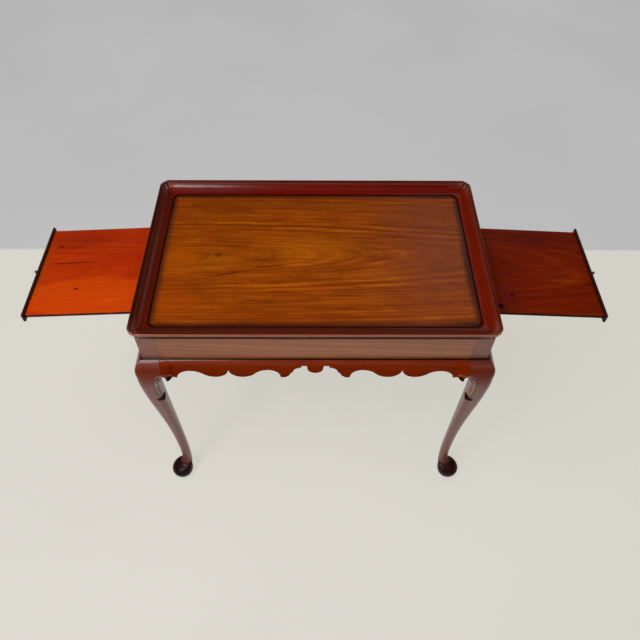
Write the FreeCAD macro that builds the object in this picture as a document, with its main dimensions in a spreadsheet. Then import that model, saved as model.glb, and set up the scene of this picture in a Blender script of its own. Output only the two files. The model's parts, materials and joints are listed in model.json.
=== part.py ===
import FreeCAD, Part
import math
import os
import Sketcher

# Tea table with a tray top, a scalloped skirt, four cabriole legs and a candle slide at each end.
# Frame: X along the table, Y from front to back, Z up from the floor, origin under the middle of the top.
# Every side is built as if it were the front (along X, its face towards -Y) and then turned about Z.

Vector = FreeCAD.Vector
doc = FreeCAD.newDocument("tea_table")

# ---------------------------------------------------------------- driving dimensions, millimetres

SIZES = [
    ("tray_length", 762, "tray over the lips, along X"),
    ("tray_depth", 473, "tray over the lips, along Y"),
    ("table_height", 672, "floor to the top of the lip"),
    ("lip_overhang", 11, "lip beyond the frieze"),
    ("rim_width", 35.5, "lip's outer edge to the field, in plan"),
    ("rim_rise", 19, "lip above the field"),
    ("lip_width", 3.5, "flat on top of the lip"),
    ("lip_cant", 18, "corner of the lip cut off at 45 degrees"),
    ("lip_bead", 7.5, "upright outer edge of the lip"),
    ("lip_round", 2, "rounded top of that edge"),
    ("bead_round", 0.9, "rounded bottom of that edge"),
    ("edge_root", 9.5, "lip's outer edge to the rim's plain foot"),
    ("edge_hollow", 8, "hollow between that foot and the lip, up and down"),
    ("lip_notch", 3.2, "radius of the notch in each corner of the lip"),
    ("field_thickness", 8, "board of the tray"),
    ("field_clip", 12.7, "corner of the field cut off at 45 degrees"),
    ("tongue_reach", 6, "field's tongue into the rims"),
    ("tongue_thickness", 4, "field's tongue, up and down"),
    ("tongue_lift", 1.5, "field's underside to its tongue"),
    ("shadow_gap", 0.4, "between the field's edge and the rims"),
    ("frieze_height", 73, "rails above the skirt"),
    ("post_width", 38, "square post at the top of a leg"),
    ("rail_thickness", 22, "frieze rails"),
    ("tenon_thickness", 8, "rail tenons"),
    ("tenon_length", 20, "rail tenons"),
    ("tenon_shoulder", 9, "rail's edge to its tenon"),
    ("joint_clearance", 0.1, "around a tenon or a tongue"),
    ("skirt_projection", 9.9, "skirt beyond the frieze"),
    ("centre_lobe_radius", 17.2, "drop in the middle of a skirt"),
    ("centre_flare", 1.4, "that drop's root wider than its round, each side"),
    ("centre_drop", 43.4, "crease to the bottom of that drop"),
    ("notch_drop", 15.8, "crease to the flat notch"),
    ("notch_end", 30.3, "middle to the notch's end"),
    ("shoulder_drop", 22.4, "crease to the shoulder beside the notch"),
    ("shoulder_end", 49.4, "middle to the shoulder's end"),
    ("shoulder_round", 20, "radius of the shoulder"),
    ("step_drop", 42.2, "crease to the small step"),
    ("step_width", 3.9, "small step"),
    ("pendant_drop", 61.6, "crease to the bottom of a pendant"),
    ("pendant_start", 67.8, "middle to the flat of a pendant"),
    ("pendant_flat", 5, "flat of a pendant"),
    ("pendant_round", 4.4, "far corner of a pendant"),
    ("pendant_hollow", 24.7, "radius of a pendant's near side"),
    ("arch_drop", 31.9, "crease to the top of an arch"),
    ("first_arch", 103, "middle to the first arch"),
    ("lobe_drop", 59.8, "crease to the bottom of a lobe"),
    ("first_lobe", 160.5, "middle to the first lobe"),
    ("cusp_drop", 31, "crease to the cusp between the lobes"),
    ("cusp_middle", 190, "middle to the cusp"),
    ("last_arch", 274, "middle to the last arch of a long skirt"),
    ("last_arch_drop", 35.7, "crease to the top of that arch"),
    ("skirt_end_drop", 63.7, "crease to the end of a skirt"),
    ("ledge_round", 9.7, "rounded ledge along a skirt's top"),
    ("knee_block_length", 26.4, "skirt's end to the leg's post"),
    ("volute_radius", 5, "small round drop of a knee block"),
    ("volute_drop", 55.7, "crease to that drop's centre"),
    ("volute_middle", 10.2, "leg's post to that drop's centre"),
    ("volute_neck", 8.2, "rise of the edge before that drop"),
    ("block_arch_drop", 41.5, "crease to a knee block's arch at the leg"),
    ("block_arch_round", 8, "radius of that arch"),
    ("knee_reach", 23.8, "knee beyond the post, each way"),
    ("knee_drop", 53, "crease to the fullest part of the knee"),
    ("knee_ease", 0.6, "post's inner face to the top of the knee's, clear of rails and blocks"),
    ("knee_inset", 16.7, "knee's inner face, from beside the blocks in to below them"),
    ("ankle_height", 105, "floor to the thinnest part of the ankle"),
    ("ankle_reach", 1.2, "ankle beyond the post, each way"),
    ("ankle_width", 24.5, "ankle"),
    ("foot_radius", 28.3, "pad foot"),
    ("foot_reach", 7, "foot's centre beyond the post's corner, each way"),
    ("foot_middle", 27, "floor to the fullest part of the foot"),
    ("foot_height", 45, "floor to the top of the pad"),
    ("foot_flare", 17.4, "ankle's reach over the pad's top"),
    ("foot_base", 12.5, "radius that stands on the floor"),
    ("foot_shoe", 3, "low disc under the foot"),
    ("scoop_radius", 11, "round hollow in a leg's two inner faces"),
    ("scoop_depth", 5.5, "that hollow"),
    ("scoop_drop", 136, "crease to that hollow's middle"),
    ("scoop_reach", 14.7, "hollow's middle beyond the post"),
    ("slide_fall", 3.2, "fall of the slides towards their fronts, in degrees"),
    ("slide_drop", 31.2, "frame's top to the slide's top at the frieze"),
    ("slide_width", 262, "slide boards"),
    ("slide_thickness", 8, "slide boards"),
    ("slide_length", 350, "slide boards, along the fall"),
    ("slide_travel", 268, "slides, along the fall"),
    ("slide_gap", 0.5, "front strip to the frieze, pushed in"),
    ("stop_gap", 0.3, "stop cleat to the end rail, pulled out"),
    ("slot_clearance", 0.8, "around a slide in its slot and grooves"),
    ("front_thickness", 5.5, "slide's front strip"),
    ("front_height", 21.5, "slide's front strip"),
    ("front_lip", 6.5, "front strip above the slide's top"),
    ("front_overlap", 6, "front strip past the slide's edges"),
    ("strip_groove", 2, "slide's end let into its front strip"),
    ("knob_radius", 3.7, "knob's ball"),
    ("knob_stem", 1.5, "radius of the knob's stem and pin"),
    ("knob_stand", 7.4, "front strip to the ball's centre"),
    ("knob_pin", 12, "knob's pin inside the slide"),
    ("cleat_width", 14, "stop under a slide"),
    ("cleat_height", 8, "stop under a slide"),
    ("cleat_length", 236, "stop under a slide"),
    ("screw_radius", 1.6, "cleat screws"),
    ("screw_head", 3.4, "radius of a cleat screw's head"),
    ("screw_sink", 2, "cone under a cleat screw's head"),
    ("screw_bite", 5, "cleat screw into the slide"),
    ("screw_spacing", 90, "cleat screws"),
    ("cross_rail_width", 24, "rail across the middle"),
    ("cross_rail_height", 42, "rail across the middle"),
    ("cross_tenon_width", 10, "stub tenons of that rail"),
    ("cross_tenon_length", 8, "stub tenons of that rail"),
    ("guide_width", 20, "slide guides"),
    ("guide_groove", 4.5, "groove in a slide guide"),
    ("guide_wall", 9, "guide below its groove at the end rail"),
    ("guide_gap", 3, "guides' top edges to the tray"),
    ("glue_block", 20, "glue blocks, across"),
    ("glue_block_length", 44, "glue blocks, along"),
    ("block_near", 100, "middle of a long rail to its nearer blocks"),
    ("block_far", 250, "middle of a long rail to its further blocks"),
    ("block_gap", 2, "glue blocks of the ends to the slide guides"),
]

sheet = doc.addObject("Spreadsheet::Sheet", "sizes")
for row, (alias, value, meaning) in enumerate(SIZES, start=1):
    sheet.set(f"A{row}", str(value))
    sheet.set(f"B{row}", meaning)
    sheet.setAlias(f"A{row}", alias)
doc.recompute()


class Size:
    """A size worked out from the sheet: its expression in the document, and its value now."""

    def __init__(self, text, value):
        self.text = text
        self.value = float(value)

    def joined(self, sign, other, value):
        right = other.text if isinstance(other, Size) else repr(float(other))
        return Size(f"({self.text} {sign} {right})", value)

    def __add__(self, other):
        return self.joined("+", other, self.value + number(other))

    def __sub__(self, other):
        return self.joined("-", other, self.value - number(other))

    def __mul__(self, other):
        return self.joined("*", other, self.value * number(other))

    def __truediv__(self, other):
        return self.joined("/", other, self.value / number(other))

    def __neg__(self):
        return self * -1

    __radd__ = __add__
    __rmul__ = __mul__


def number(size):
    return size.value if isinstance(size, Size) else float(size)


def sine(size):
    return Size(f"sin({size.text})", math.sin(math.radians(size.value)))


def tangent(size):
    return Size(f"tan({size.text})", math.tan(math.radians(size.value)))


def cosine(size):
    return Size(f"cos({size.text})", math.cos(math.radians(size.value)))


# Pads and cuts run this much past what they meet, so that they join or part cleanly.
spare = 1
# Moving an outline with cut-off corners in by 1 shortens each cut by this along the sides.
clip_change = 2 - math.sqrt(2)

v = type("Sizes", (), {alias: Size(f"sizes.{alias}", value) for alias, value, meaning in SIZES})
zero = v.tray_length * 0

# ---------------------------------------------------------------- places worked out from the sizes

frame_length = v.tray_length - v.lip_overhang * 2
frame_depth = v.tray_depth - v.lip_overhang * 2
field_top = v.table_height - v.rim_rise
frame_top = field_top - v.field_thickness
crease = frame_top - v.frieze_height
rim_height = v.rim_rise + v.field_thickness

# Each side: its turn about Z, half its length, and its distance from the table's middle.
SIDES = {
    "front": (0, frame_length / 2, frame_depth / 2),
    "right": (90, frame_depth / 2, frame_length / 2),
    "back": (180, frame_length / 2, frame_depth / 2),
    "left": (270, frame_depth / 2, frame_length / 2),
}
# The neighbour at a side's own -X and +X ends.
ENDS = {
    "front": ("left", "right"),
    "right": ("front", "back"),
    "back": ("right", "left"),
    "left": ("back", "front"),
}

nodes = []


# ---------------------------------------------------------------- helpers

def keep(item, label):
    """Marks an object as a piece of the table: its label names the piece."""
    item.Label = label
    nodes.append(item)
    return item


def spot(base=(0, 0, 0), tilt=None):
    """Expression of a place in a side's frame: its base, and the slides' fall if it is tilted."""
    parts = "; ".join(size.text if isinstance(size, Size) else str(size) for size in base)
    angle = v.slide_fall.text if tilt else "0"
    return f"placement(vector({parts}); rotation(vector(1; 0; 0); {angle}))"


def place(item, degrees, *spots):
    """Turns an object about Z after putting it at the spots, each in the frame of the one before."""
    turned = f"placement(vector(0; 0; 0); rotation(vector(0; 0; 1); {degrees}))"
    item.setExpression("Placement", " * ".join([turned, *spots]))
    return item


def body_named(name):
    return doc.addObject("PartDesign::Body", name)


def arc_between(start, end, radius, way):
    """Arc from start to end about a centre on the left (way 1) or right (way -1), less than a half turn."""
    chord = end - start
    half = chord.Length / 2
    rise = math.sqrt(max(radius * radius - half * half, 0))
    side = Vector(-chord.y, chord.x, 0) / chord.Length * way
    centre = (start + end) / 2 + side * rise
    first, last = (start, end) if way > 0 else (end, start)
    angles = [math.atan2(p.y - centre.y, p.x - centre.x) for p in (first, last)]
    circle = Part.Circle(centre, Vector(0, 0, 1), radius)
    return Part.ArcOfCircle(circle, angles[0], angles[1])


def sketch_in(body, name, role, corners, lift=None):
    """Closed outline on one of the body's own planes, each corner bound to its sizes.

    A corner is (across, up) where a straight stretch starts, or (across, up, radius, way) for an arc.
    """
    sketch = body.newObject("Sketcher::SketchObject", name)
    plane = [f for f in body.Origin.OriginFeatures if f.Role == role][0]
    sketch.AttachmentSupport = [(plane, "")]
    sketch.MapMode = "FlatFace"
    if lift is not None:
        sketch.setExpression("AttachmentOffset.Base.z", lift.text)
    add_outline(sketch, corners)
    return sketch


def add_outline(sketch, corners):
    base = sketch.GeometryCount
    count = len(corners)
    places = [Vector(number(c[0]), number(c[1]), 0) for c in corners]
    first_ends = []
    for k, corner in enumerate(corners):
        start, end = places[k], places[(k + 1) % count]
        if len(corner) == 2:
            sketch.addGeometry(Part.LineSegment(start, end))
            first_ends.append(1)
        else:
            sketch.addGeometry(arc_between(start, end, number(corner[2]), corner[3]))
            first_ends.append(1 if corner[3] > 0 else 2)
    for k, corner in enumerate(corners):
        after = (k + 1) % count
        joint = Sketcher.Constraint(
            "Coincident", base + k, 3 - first_ends[k], base + after, first_ends[after]
        )
        sketch.addConstraint(joint)
        for kind, size in (("DistanceX", corner[0]), ("DistanceY", corner[1])):
            bound = Sketcher.Constraint(kind, -1, 1, base + k, first_ends[k], number(size))
            bind_last(sketch, bound, size)
        if len(corner) == 4:
            bind_last(sketch, Sketcher.Constraint("Radius", base + k, number(corner[2])), corner[2])


def add_circles(sketch, centres, radius):
    for k, centre in enumerate(centres):
        middle = Vector(number(centre[0]), number(centre[1]), 0)
        sketch.addGeometry(Part.Circle(middle, Vector(0, 0, 1), number(radius)))
        for kind, size in (("DistanceX", centre[0]), ("DistanceY", centre[1])):
            bind_last(sketch, Sketcher.Constraint(kind, -1, 1, k, 3, number(size)), size)
        bind_last(sketch, Sketcher.Constraint("Radius", k, number(radius)), radius)


def bind_last(sketch, constraint, size):
    place = sketch.addConstraint(constraint)
    if isinstance(size, Size):
        sketch.setExpression(f"Constraints[{place}]", size.text)


def pad(body, name, sketch, length):
    feature = body.newObject("PartDesign::Pad", name)
    feature.Profile = sketch
    feature.setExpression("Length", length.text)
    return feature


def pocket(body, name, sketch, length, reverse=False, both=False):
    feature = body.newObject("PartDesign::Pocket", name)
    feature.Profile = sketch
    feature.setExpression("Length", length.text)
    feature.Reversed = reverse
    feature.Midplane = both
    return feature


def loft(body, name, kind, sections, ruled):
    feature = body.newObject(f"PartDesign::{kind}Loft", name)
    feature.Profile = sections[0]
    feature.Sections = sections[1:]
    feature.Ruled = ruled
    return feature


def box(name, length, width, height):
    item = doc.addObject("Part::Box", name)
    for prop, size in (("Length", length), ("Width", width), ("Height", height)):
        item.setExpression(prop, size.text)
    return item


def rod(name, radius, length):
    item = doc.addObject("Part::Cylinder", name)
    item.setExpression("Radius", radius.text)
    item.setExpression("Height", length.text)
    return item


def cut(name, base, tool):
    item = doc.addObject("Part::Cut", name)
    item.Base = base
    item.Tool = tool
    return item


def joined(kind, name, pieces):
    """Several shapes as one: Part::MultiFuse melts them together, Part::Compound keeps them apart."""
    item = doc.addObject(kind, name)
    if kind == "Part::Compound":
        item.Links = pieces
    else:
        item.Shapes = pieces
    return item


def rectangle(left, right, low, high):
    return [(left, low), (right, low), (right, high), (left, high)]


def clipped(half_x, half_y, clip):
    """Rectangle about the middle with its corners cut off at 45 degrees."""
    return [
        (clip - half_x, -half_y), (half_x - clip, -half_y), (half_x, clip - half_y),
        (half_x, half_y - clip), (half_x - clip, half_y), (clip - half_x, half_y),
        (-half_x, half_y - clip), (-half_x, clip - half_y),
    ]


def level_radius(across, up):
    """Radius of the arc over this step that runs level at one of its ends."""
    return (across * across + up * up) / (up * 2)


# ---------------------------------------------------------------- tray

def make_field():
    half_x = v.tray_length / 2 - v.rim_width
    half_y = v.tray_depth / 2 - v.rim_width
    body = body_named("field_board")
    outline = clipped(half_x - v.shadow_gap, half_y - v.shadow_gap, v.field_clip)
    pad(body, "board", sketch_in(body, "board_plan", "XY_Plane", outline, frame_top), v.field_thickness)
    reach = v.tongue_reach - v.joint_clearance
    tongue = clipped(half_x + reach, half_y + reach, v.field_clip)
    lift = frame_top + v.tongue_lift
    pad(body, "tongue", sketch_in(body, "tongue_plan", "XY_Plane", tongue, lift), v.tongue_thickness)
    keep(body, "tray_field")


def make_rims():
    """One ring with a coved hollow and a moulded edge, parted at the mitres into four rims."""
    ring = body_named("ring")
    half_x = v.tray_length / 2
    half_y = v.tray_depth / 2
    bead_low = v.table_height - v.lip_bead
    # Outer edge from the underside up, as (how far inside the lip's edge, height): a plain foot, a hollow
    # that is a quarter of an ellipse, then the upright bead with its rounded top.
    edge = [(v.edge_root, frame_top)]
    for degrees in (0, 22.5, 45, 67.5, 90):
        angle = math.radians(degrees)
        inset = v.bead_round + (v.edge_root - v.bead_round) * math.cos(angle)
        edge.append((inset, bead_low - v.edge_hollow * (1 - math.sin(angle))))
    edge.append((zero, bead_low + v.bead_round))
    for degrees in (0, 30, 60, 90):
        angle = math.radians(degrees)
        height = v.table_height - v.lip_round * (1 - math.sin(angle))
        edge.append((v.lip_round * (1 - math.cos(angle)), height))
    outer = []
    for k, (inset, height) in enumerate(edge):
        plan = clipped(half_x - inset, half_y - inset, v.lip_cant - inset * clip_change)
        outer.append(sketch_in(ring, f"edge_{k}", "XY_Plane", plan, height))
    loft(ring, "moulded_edge", "Additive", outer, True)
    # Cove: a quarter of an ellipse from the lip's inner edge down to the field.
    inner_x = half_x - v.rim_width
    inner_y = half_y - v.rim_width
    cove_width = v.rim_width - v.lip_width - v.lip_round
    lip_clip = v.lip_cant - (v.lip_width + v.lip_round) * clip_change
    cove = []
    steps = 7
    for k in range(steps + 1):
        angle = math.radians(90 * k / steps)
        out = cove_width * math.sin(angle)
        height = field_top + v.rim_rise * (1 - math.cos(angle))
        clip = v.field_clip + (lip_clip - v.field_clip) * math.sin(angle)
        plan = clipped(inner_x + out, inner_y + out, clip)
        cove.append(sketch_in(ring, f"cove_{k}", "XY_Plane", plan, height))
    loft(ring, "cove_cut", "Subtractive", cove, True)
    well = clipped(inner_x, inner_y, v.field_clip)
    pocket(ring, "well", sketch_in(ring, "well_plan", "XY_Plane", well, frame_top), v.field_thickness, True)
    gap = v.joint_clearance
    groove = clipped(inner_x + v.tongue_reach, inner_y + v.tongue_reach, v.field_clip)
    low = frame_top + v.tongue_lift - gap
    groove_plan = sketch_in(ring, "groove_plan", "XY_Plane", groove, low)
    pocket(ring, "groove", groove_plan, v.tongue_thickness + gap * 2, True)
    notches = ring.newObject("Sketcher::SketchObject", "notch_plan")
    notches.setExpression("AttachmentOffset.Base.z", v.table_height.text)
    plane = [f for f in ring.Origin.OriginFeatures if f.Role == "XY_Plane"][0]
    notches.AttachmentSupport = [(plane, "")]
    notches.MapMode = "FlatFace"
    off_x = half_x - v.lip_cant / 2
    off_y = half_y - v.lip_cant / 2
    add_circles(notches, [(x, y) for x in (-off_x, off_x) for y in (-off_y, off_y)], v.lip_notch)
    pocket(ring, "notches", notches, v.lip_bead)
    for side, (degrees, half, away) in SIDES.items():
        long_way = half + v.lip_overhang
        out = away + v.lip_overhang
        deep = v.rim_width * 2
        wedge = doc.addObject("Part::Wedge", f"mitre_{side}")
        ends = (
            ("Xmin", -long_way), ("Xmax", long_way), ("X2min", deep - long_way), ("X2max", long_way - deep),
            ("Ymin", -out), ("Ymax", deep - out), ("Zmin", frame_top), ("Zmax", v.table_height + spare),
            ("Z2min", frame_top), ("Z2max", v.table_height + spare),
        )
        for prop, size in ends:
            wedge.setExpression(prop, size.text)
        place(wedge, degrees)
        rim = doc.addObject("Part::Common", f"rim_{side}")
        rim.Base = ring
        rim.Tool = wedge
        keep(rim, f"tray_rim_{side}")


# ---------------------------------------------------------------- legs

def smooth(share):
    return share * share * (3 - 2 * share)


def knee_swell(down):
    """Share of the knee's reach at this share of the way down from the crease to its fullest part."""
    return math.sqrt(1 - (1 - down) ** 2)


# A section's corner radius, as a share of its width: almost sharp, knee, ankle and foot.
sharp_corner = 0.02
knee_corner = 0.3
ankle_corner = 0.48
foot_corner = 0.49


# From the crease down to the knee's fullest part: (share of the way, share of the knee's inset there).
KNEE_STEPS = (
    (0.0, 0), (0.02, 0), (0.08, 0), (0.18, 0), (0.34, 0), (0.56, 0), (0.76, 0), (0.88, 0.05), (1.0, 0.18),
)
# From there down to the ankle: (share of the height left, share of the knee's inset).
SHAFT_STEPS = (
    (0.978, 0.44), (0.954, 0.74), (0.93, 0.95), (0.9, 1), (0.83, 1), (0.74, 1), (0.65, 1), (0.56, 1),
    (0.46, 1), (0.36, 1), (0.26, 1), (0.16, 1), (0.07, 1), (0.0, 1),
)


# Down the ankle onto the pad: (share of the way up from the pad's top to the ankle, share of the flare).
FLARE_STEPS = (
    (1.0, 0), (0.83, 0.005), (0.66, 0.02), (0.5, 0.06), (0.33, 0.13), (0.2, 0.22), (0.1, 0.33), (0.03, 0.5),
)
# Upper half of the pad, as shares of its height: an ellipse cut off where the ankle meets it.
PAD_STEPS = (0.96, 0.86, 0.73, 0.6, 0.45, 0.3, 0.15, 0.0)


def shaft_sections():
    """From the crease down to the ankle: height, reach beyond the post, inner face, corner radii.

    Faces are measured from the post's corner; the first radius is the outer corner's, the second the others'.
    """
    sections = []
    # The inner faces stay by the knee blocks first, and turn in below them.
    full = v.post_width - v.knee_ease
    for down, turn in KNEE_STEPS:
        height = crease - v.knee_drop * down
        reach = v.knee_reach * knee_swell(down)
        face = full - v.knee_inset * turn
        outer, inner = (sharp_corner + (knee_corner - sharp_corner) * share for share in (down, turn))
        sections.append((height, reach, face, (reach + face) * outer, (reach + face) * inner))
    knee_height = crease - v.knee_drop
    ankle_inner = v.ankle_width - v.ankle_reach
    for share, turn in SHAFT_STEPS:
        height = v.ankle_height + (knee_height - v.ankle_height) * share
        reach = v.ankle_reach + (v.knee_reach - v.ankle_reach) * smooth(share ** 1.27)
        knee_inner = full - v.knee_inset * turn
        face = ankle_inner + (knee_inner - ankle_inner) * smooth(share)
        outer = knee_corner + (ankle_corner - knee_corner) * (1 - share)
        inner = sharp_corner + (outer - sharp_corner) * turn
        sections.append((height, reach, face, (reach + face) * outer, (reach + face) * inner))
    return sections


def foot_sections():
    """From the ankle down to the shoe, as the shaft's, all corners alike."""
    sections = []
    ankle_inner = v.ankle_width - v.ankle_reach
    foot_inner = v.foot_radius - v.foot_reach
    for share, flare in FLARE_STEPS:
        height = v.foot_height + (v.ankle_height - v.foot_height) * share
        reach = v.ankle_reach + v.foot_flare * flare
        face = ankle_inner + (foot_inner - ankle_inner) * (1 - share)
        radius = (reach + face) * ankle_corner
        sections.append((height, reach, face, radius, radius))
    for share in PAD_STEPS:
        height = v.foot_middle + (v.foot_height - v.foot_middle) * share
        reach = v.foot_reach + v.foot_radius * math.sqrt(1 - share * share * 0.8)
        radius = (reach + foot_inner) * foot_corner
        sections.append((height, reach, foot_inner, radius, radius))
    least = v.foot_base + v.foot_shoe / 2
    for degrees in (18, 36, 54, 72, 90):
        angle = math.radians(degrees)
        round_here = least + (v.foot_radius - least) * math.cos(angle)
        height = v.foot_middle - (v.foot_middle - v.foot_shoe) * math.sin(angle)
        radius = round_here * foot_corner * 2
        sections.append((height, v.foot_reach + round_here, round_here - v.foot_reach, radius, radius))
    return sections


def rounded_square(low, high, outer, inner):
    """Square from low to high both ways: one radius for its corner at low, the other for the rest."""
    near = low + inner
    far = high - inner
    return [
        (low + outer, low), (far, low, inner, 1), (high, near), (high, far, inner, 1),
        (far, high), (near, high, inner, 1), (low, far), (low, low + outer, outer, 1),
    ]


def make_leg(label, degrees, corner_x, corner_y):
    """One leg, its own origin on the floor under the post's outer corner, +X and +Y into the table."""
    body = body_named(f"{label}_body")
    for name, sections in (("shaft", shaft_sections()), ("foot", foot_sections())):
        plans = []
        for k, (height, reach, face, outer, inner) in enumerate(sections):
            plan = rounded_square(-reach, face, outer, inner)
            plans.append(sketch_in(body, f"{name}_{k}", "XY_Plane", plan, height))
        loft(body, name, "Additive", plans, False)
    post = rectangle(zero, v.post_width, zero, v.post_width)
    post_plan = sketch_in(body, "post_plan", "XY_Plane", post, crease - spare)
    pad(body, "post", post_plan, v.frieze_height + spare)
    # The same mortise from each inner face, in the middle of the rail's thickness.
    near = (v.rail_thickness - v.tenon_thickness) / 2 - v.joint_clearance
    wide = v.tenon_thickness + v.joint_clearance * 2
    deep = v.tenon_length + v.joint_clearance
    start = v.post_width - deep
    low = crease + v.tenon_shoulder - v.joint_clearance
    tall = v.frieze_height - v.tenon_shoulder * 2 + v.joint_clearance * 2
    for name, plan in (
        ("long_mortise", rectangle(start, v.post_width, near, near + wide)),
        ("end_mortise", rectangle(near, near + wide, start, v.post_width)),
    ):
        pocket(body, name, sketch_in(body, f"{name}_plan", "XY_Plane", plan, low), tall, True)
    shoe = body.newObject("Sketcher::SketchObject", "shoe_plan")
    add_circles(shoe, [(-v.foot_reach, -v.foot_reach)], v.foot_base)
    pad(body, "shoe", shoe, v.foot_shoe + spare)
    ball = (v.scoop_radius * v.scoop_radius + v.scoop_depth * v.scoop_depth) / (v.scoop_depth * 2)
    away = v.post_width - v.knee_ease - v.knee_inset + ball - v.scoop_depth
    # The knee may swell a hair past the post's inner faces, where rails and blocks stand: that goes too.
    side = v.post_width + v.knee_reach * 2
    off = v.knee_reach * -2
    cutters = []
    for name, base, corner in (
        ("long", (away, -v.scoop_reach), (v.post_width, off)),
        ("end", (-v.scoop_reach, away), (off, v.post_width)),
    ):
        scoop = doc.addObject("Part::Sphere", f"{label}_{name}_scoop")
        scoop.setExpression("Radius", ball.text)
        scoop.setExpression("Placement", spot((*base, crease - v.scoop_drop)))
        beyond = box(f"{label}_{name}_beyond", side, side, v.knee_drop + v.frieze_height)
        beyond.setExpression("Placement", spot((*corner, crease - v.knee_drop)))
        cutters += [scoop, beyond]
    leg = cut(f"{label}_cut", body, joined("Part::MultiFuse", f"{label}_cutters", cutters))
    corner = f"placement(vector({corner_x.text}; {corner_y.text}; 0); rotation(vector(0; 0; 1); {degrees}))"
    leg.setExpression("Placement", corner)
    keep(leg, label)


def make_legs():
    half_x = frame_length / 2
    half_y = frame_depth / 2
    make_leg("leg_front_left", 0, -half_x, -half_y)
    make_leg("leg_front_right", 90, half_x, -half_y)
    make_leg("leg_back_right", 180, half_x, half_y)
    make_leg("leg_back_left", 270, -half_x, half_y)


# ---------------------------------------------------------------- rails

def make_rail(label, side, low, high, tenon_low, tenon_high, slot=None):
    """Rail between two posts, tenoned at both ends; slot is (half width, depth) cut from its upper edge."""
    degrees, half, away = SIDES[side]
    body = body_named(f"{label}_body")
    shoulder = half - v.post_width
    inner = v.rail_thickness - away
    face = sketch_in(body, "face", "XZ_Plane", rectangle(-shoulder, shoulder, low, high), -inner)
    pad(body, "board", face, v.rail_thickness)
    reach = shoulder + v.tenon_length
    margin = (v.rail_thickness - v.tenon_thickness) / 2
    tenon = rectangle(-reach, reach, tenon_low, tenon_high)
    pad(body, "tenons", sketch_in(body, "tenon_face", "XZ_Plane", tenon, margin - inner), v.tenon_thickness)
    if slot:
        half_wide, depth = slot
        opening = rectangle(-half_wide, half_wide, high - depth, high + spare)
        slot_face = sketch_in(body, "slot_face", "XZ_Plane", opening, -inner)
        pocket(body, "slot", slot_face, v.rail_thickness, True)
    if side in ("front", "back"):
        gap = v.joint_clearance
        wide = v.cross_tenon_width / 2 + gap
        bottom = high - v.cross_rail_height + v.tenon_shoulder - gap
        mortise = rectangle(-wide, wide, bottom, high - v.tenon_shoulder + gap)
        hole = sketch_in(body, "cross_face", "XZ_Plane", mortise, -inner)
        pocket(body, "cross_mortise", hole, v.cross_tenon_length + gap, True)
    place(body, degrees)
    keep(body, label)


slope = tangent(v.slide_fall)
slide_level = frame_top - v.slide_drop
slot_low = slide_level - v.slide_thickness - v.slot_clearance
slot_high = slide_level + v.rail_thickness * slope + v.slot_clearance
half_slot = v.slide_width / 2 + v.slot_clearance


def make_rails():
    tenon_low = crease + v.tenon_shoulder
    tenon_high = frame_top - v.tenon_shoulder
    for side in ("front", "back"):
        make_rail(f"{side}_rail", side, crease, frame_top, tenon_low, tenon_high)
    for side in ("left", "right"):
        slot = (half_slot, slot_high - slot_low)
        lower_high = slot_high - v.tenon_shoulder
        upper_low = slot_high + v.tenon_shoulder / 2
        make_rail(f"{side}_lower_rail", side, crease, slot_high, tenon_low, lower_high, slot)
        make_rail(f"{side}_upper_rail", side, slot_high, frame_top, upper_low, tenon_high)


# ---------------------------------------------------------------- skirts and knee blocks

def skirt_outline(side):
    """Right half of a skirt's lower edge, from the middle out to its end, as outline corners."""
    end = SIDES[side][1] - v.post_width - v.knee_block_length
    lobe = v.centre_lobe_radius
    step_end = v.shoulder_end + v.step_width
    flat_end = v.pendant_start + v.pendant_flat
    pendant_end = flat_end + v.pendant_round
    pendant_up = crease - v.pendant_drop + v.pendant_round
    arch = crease - v.arch_drop
    lobe_low = crease - v.lobe_drop
    end_low = crease - v.skirt_end_drop
    steps = [
        (lobe, crease - v.centre_drop + lobe),
        (lobe + v.centre_flare, crease - v.notch_drop),
        (v.notch_end, crease - v.notch_drop),
        (v.notch_end, crease - v.shoulder_drop, v.shoulder_round, -1),
        (v.shoulder_end, crease - v.step_drop),
        (step_end, crease - v.step_drop, v.pendant_hollow, 1),
        (v.pendant_start, crease - v.pendant_drop),
        (flat_end, crease - v.pendant_drop, v.pendant_round, 1),
    ]

    def swing(from_x, from_z, to_x, to_z, way):
        """Arc level at its upper or lower end."""
        rise = to_z - from_z if number(to_z) > number(from_z) else from_z - to_z
        return (from_x, from_z, level_radius(to_x - from_x, rise), way)

    if side in ("front", "back"):
        first_arch = v.first_arch
        last_arch = v.last_arch
        last_up = crease - v.last_arch_drop
        second_lobe = v.cusp_middle * 2 - v.first_lobe
        cusp = crease - v.cusp_drop
        middle = (arch + lobe_low) / 2
        last_middle = (last_up + lobe_low) / 2
        turn_a = (first_arch + v.first_lobe) / 2
        turn_b = (second_lobe + last_arch) / 2
        steps += [
            swing(pendant_end, pendant_up, first_arch, arch, -1),
            swing(first_arch, arch, turn_a, middle, -1),
            swing(turn_a, middle, v.first_lobe, lobe_low, 1),
            swing(v.first_lobe, lobe_low, v.cusp_middle, cusp, 1),
            swing(v.cusp_middle, cusp, second_lobe, lobe_low, 1),
            swing(second_lobe, lobe_low, turn_b, last_middle, 1),
            swing(turn_b, last_middle, last_arch, last_up, -1),
        ]
    else:
        last_arch = (pendant_end + end) / 2
        last_up = arch
        steps += [swing(pendant_end, pendant_up, last_arch, arch, -1)]
    steps += [swing(last_arch, last_up, end, end_low, -1)]
    return steps, end, end_low


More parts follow.
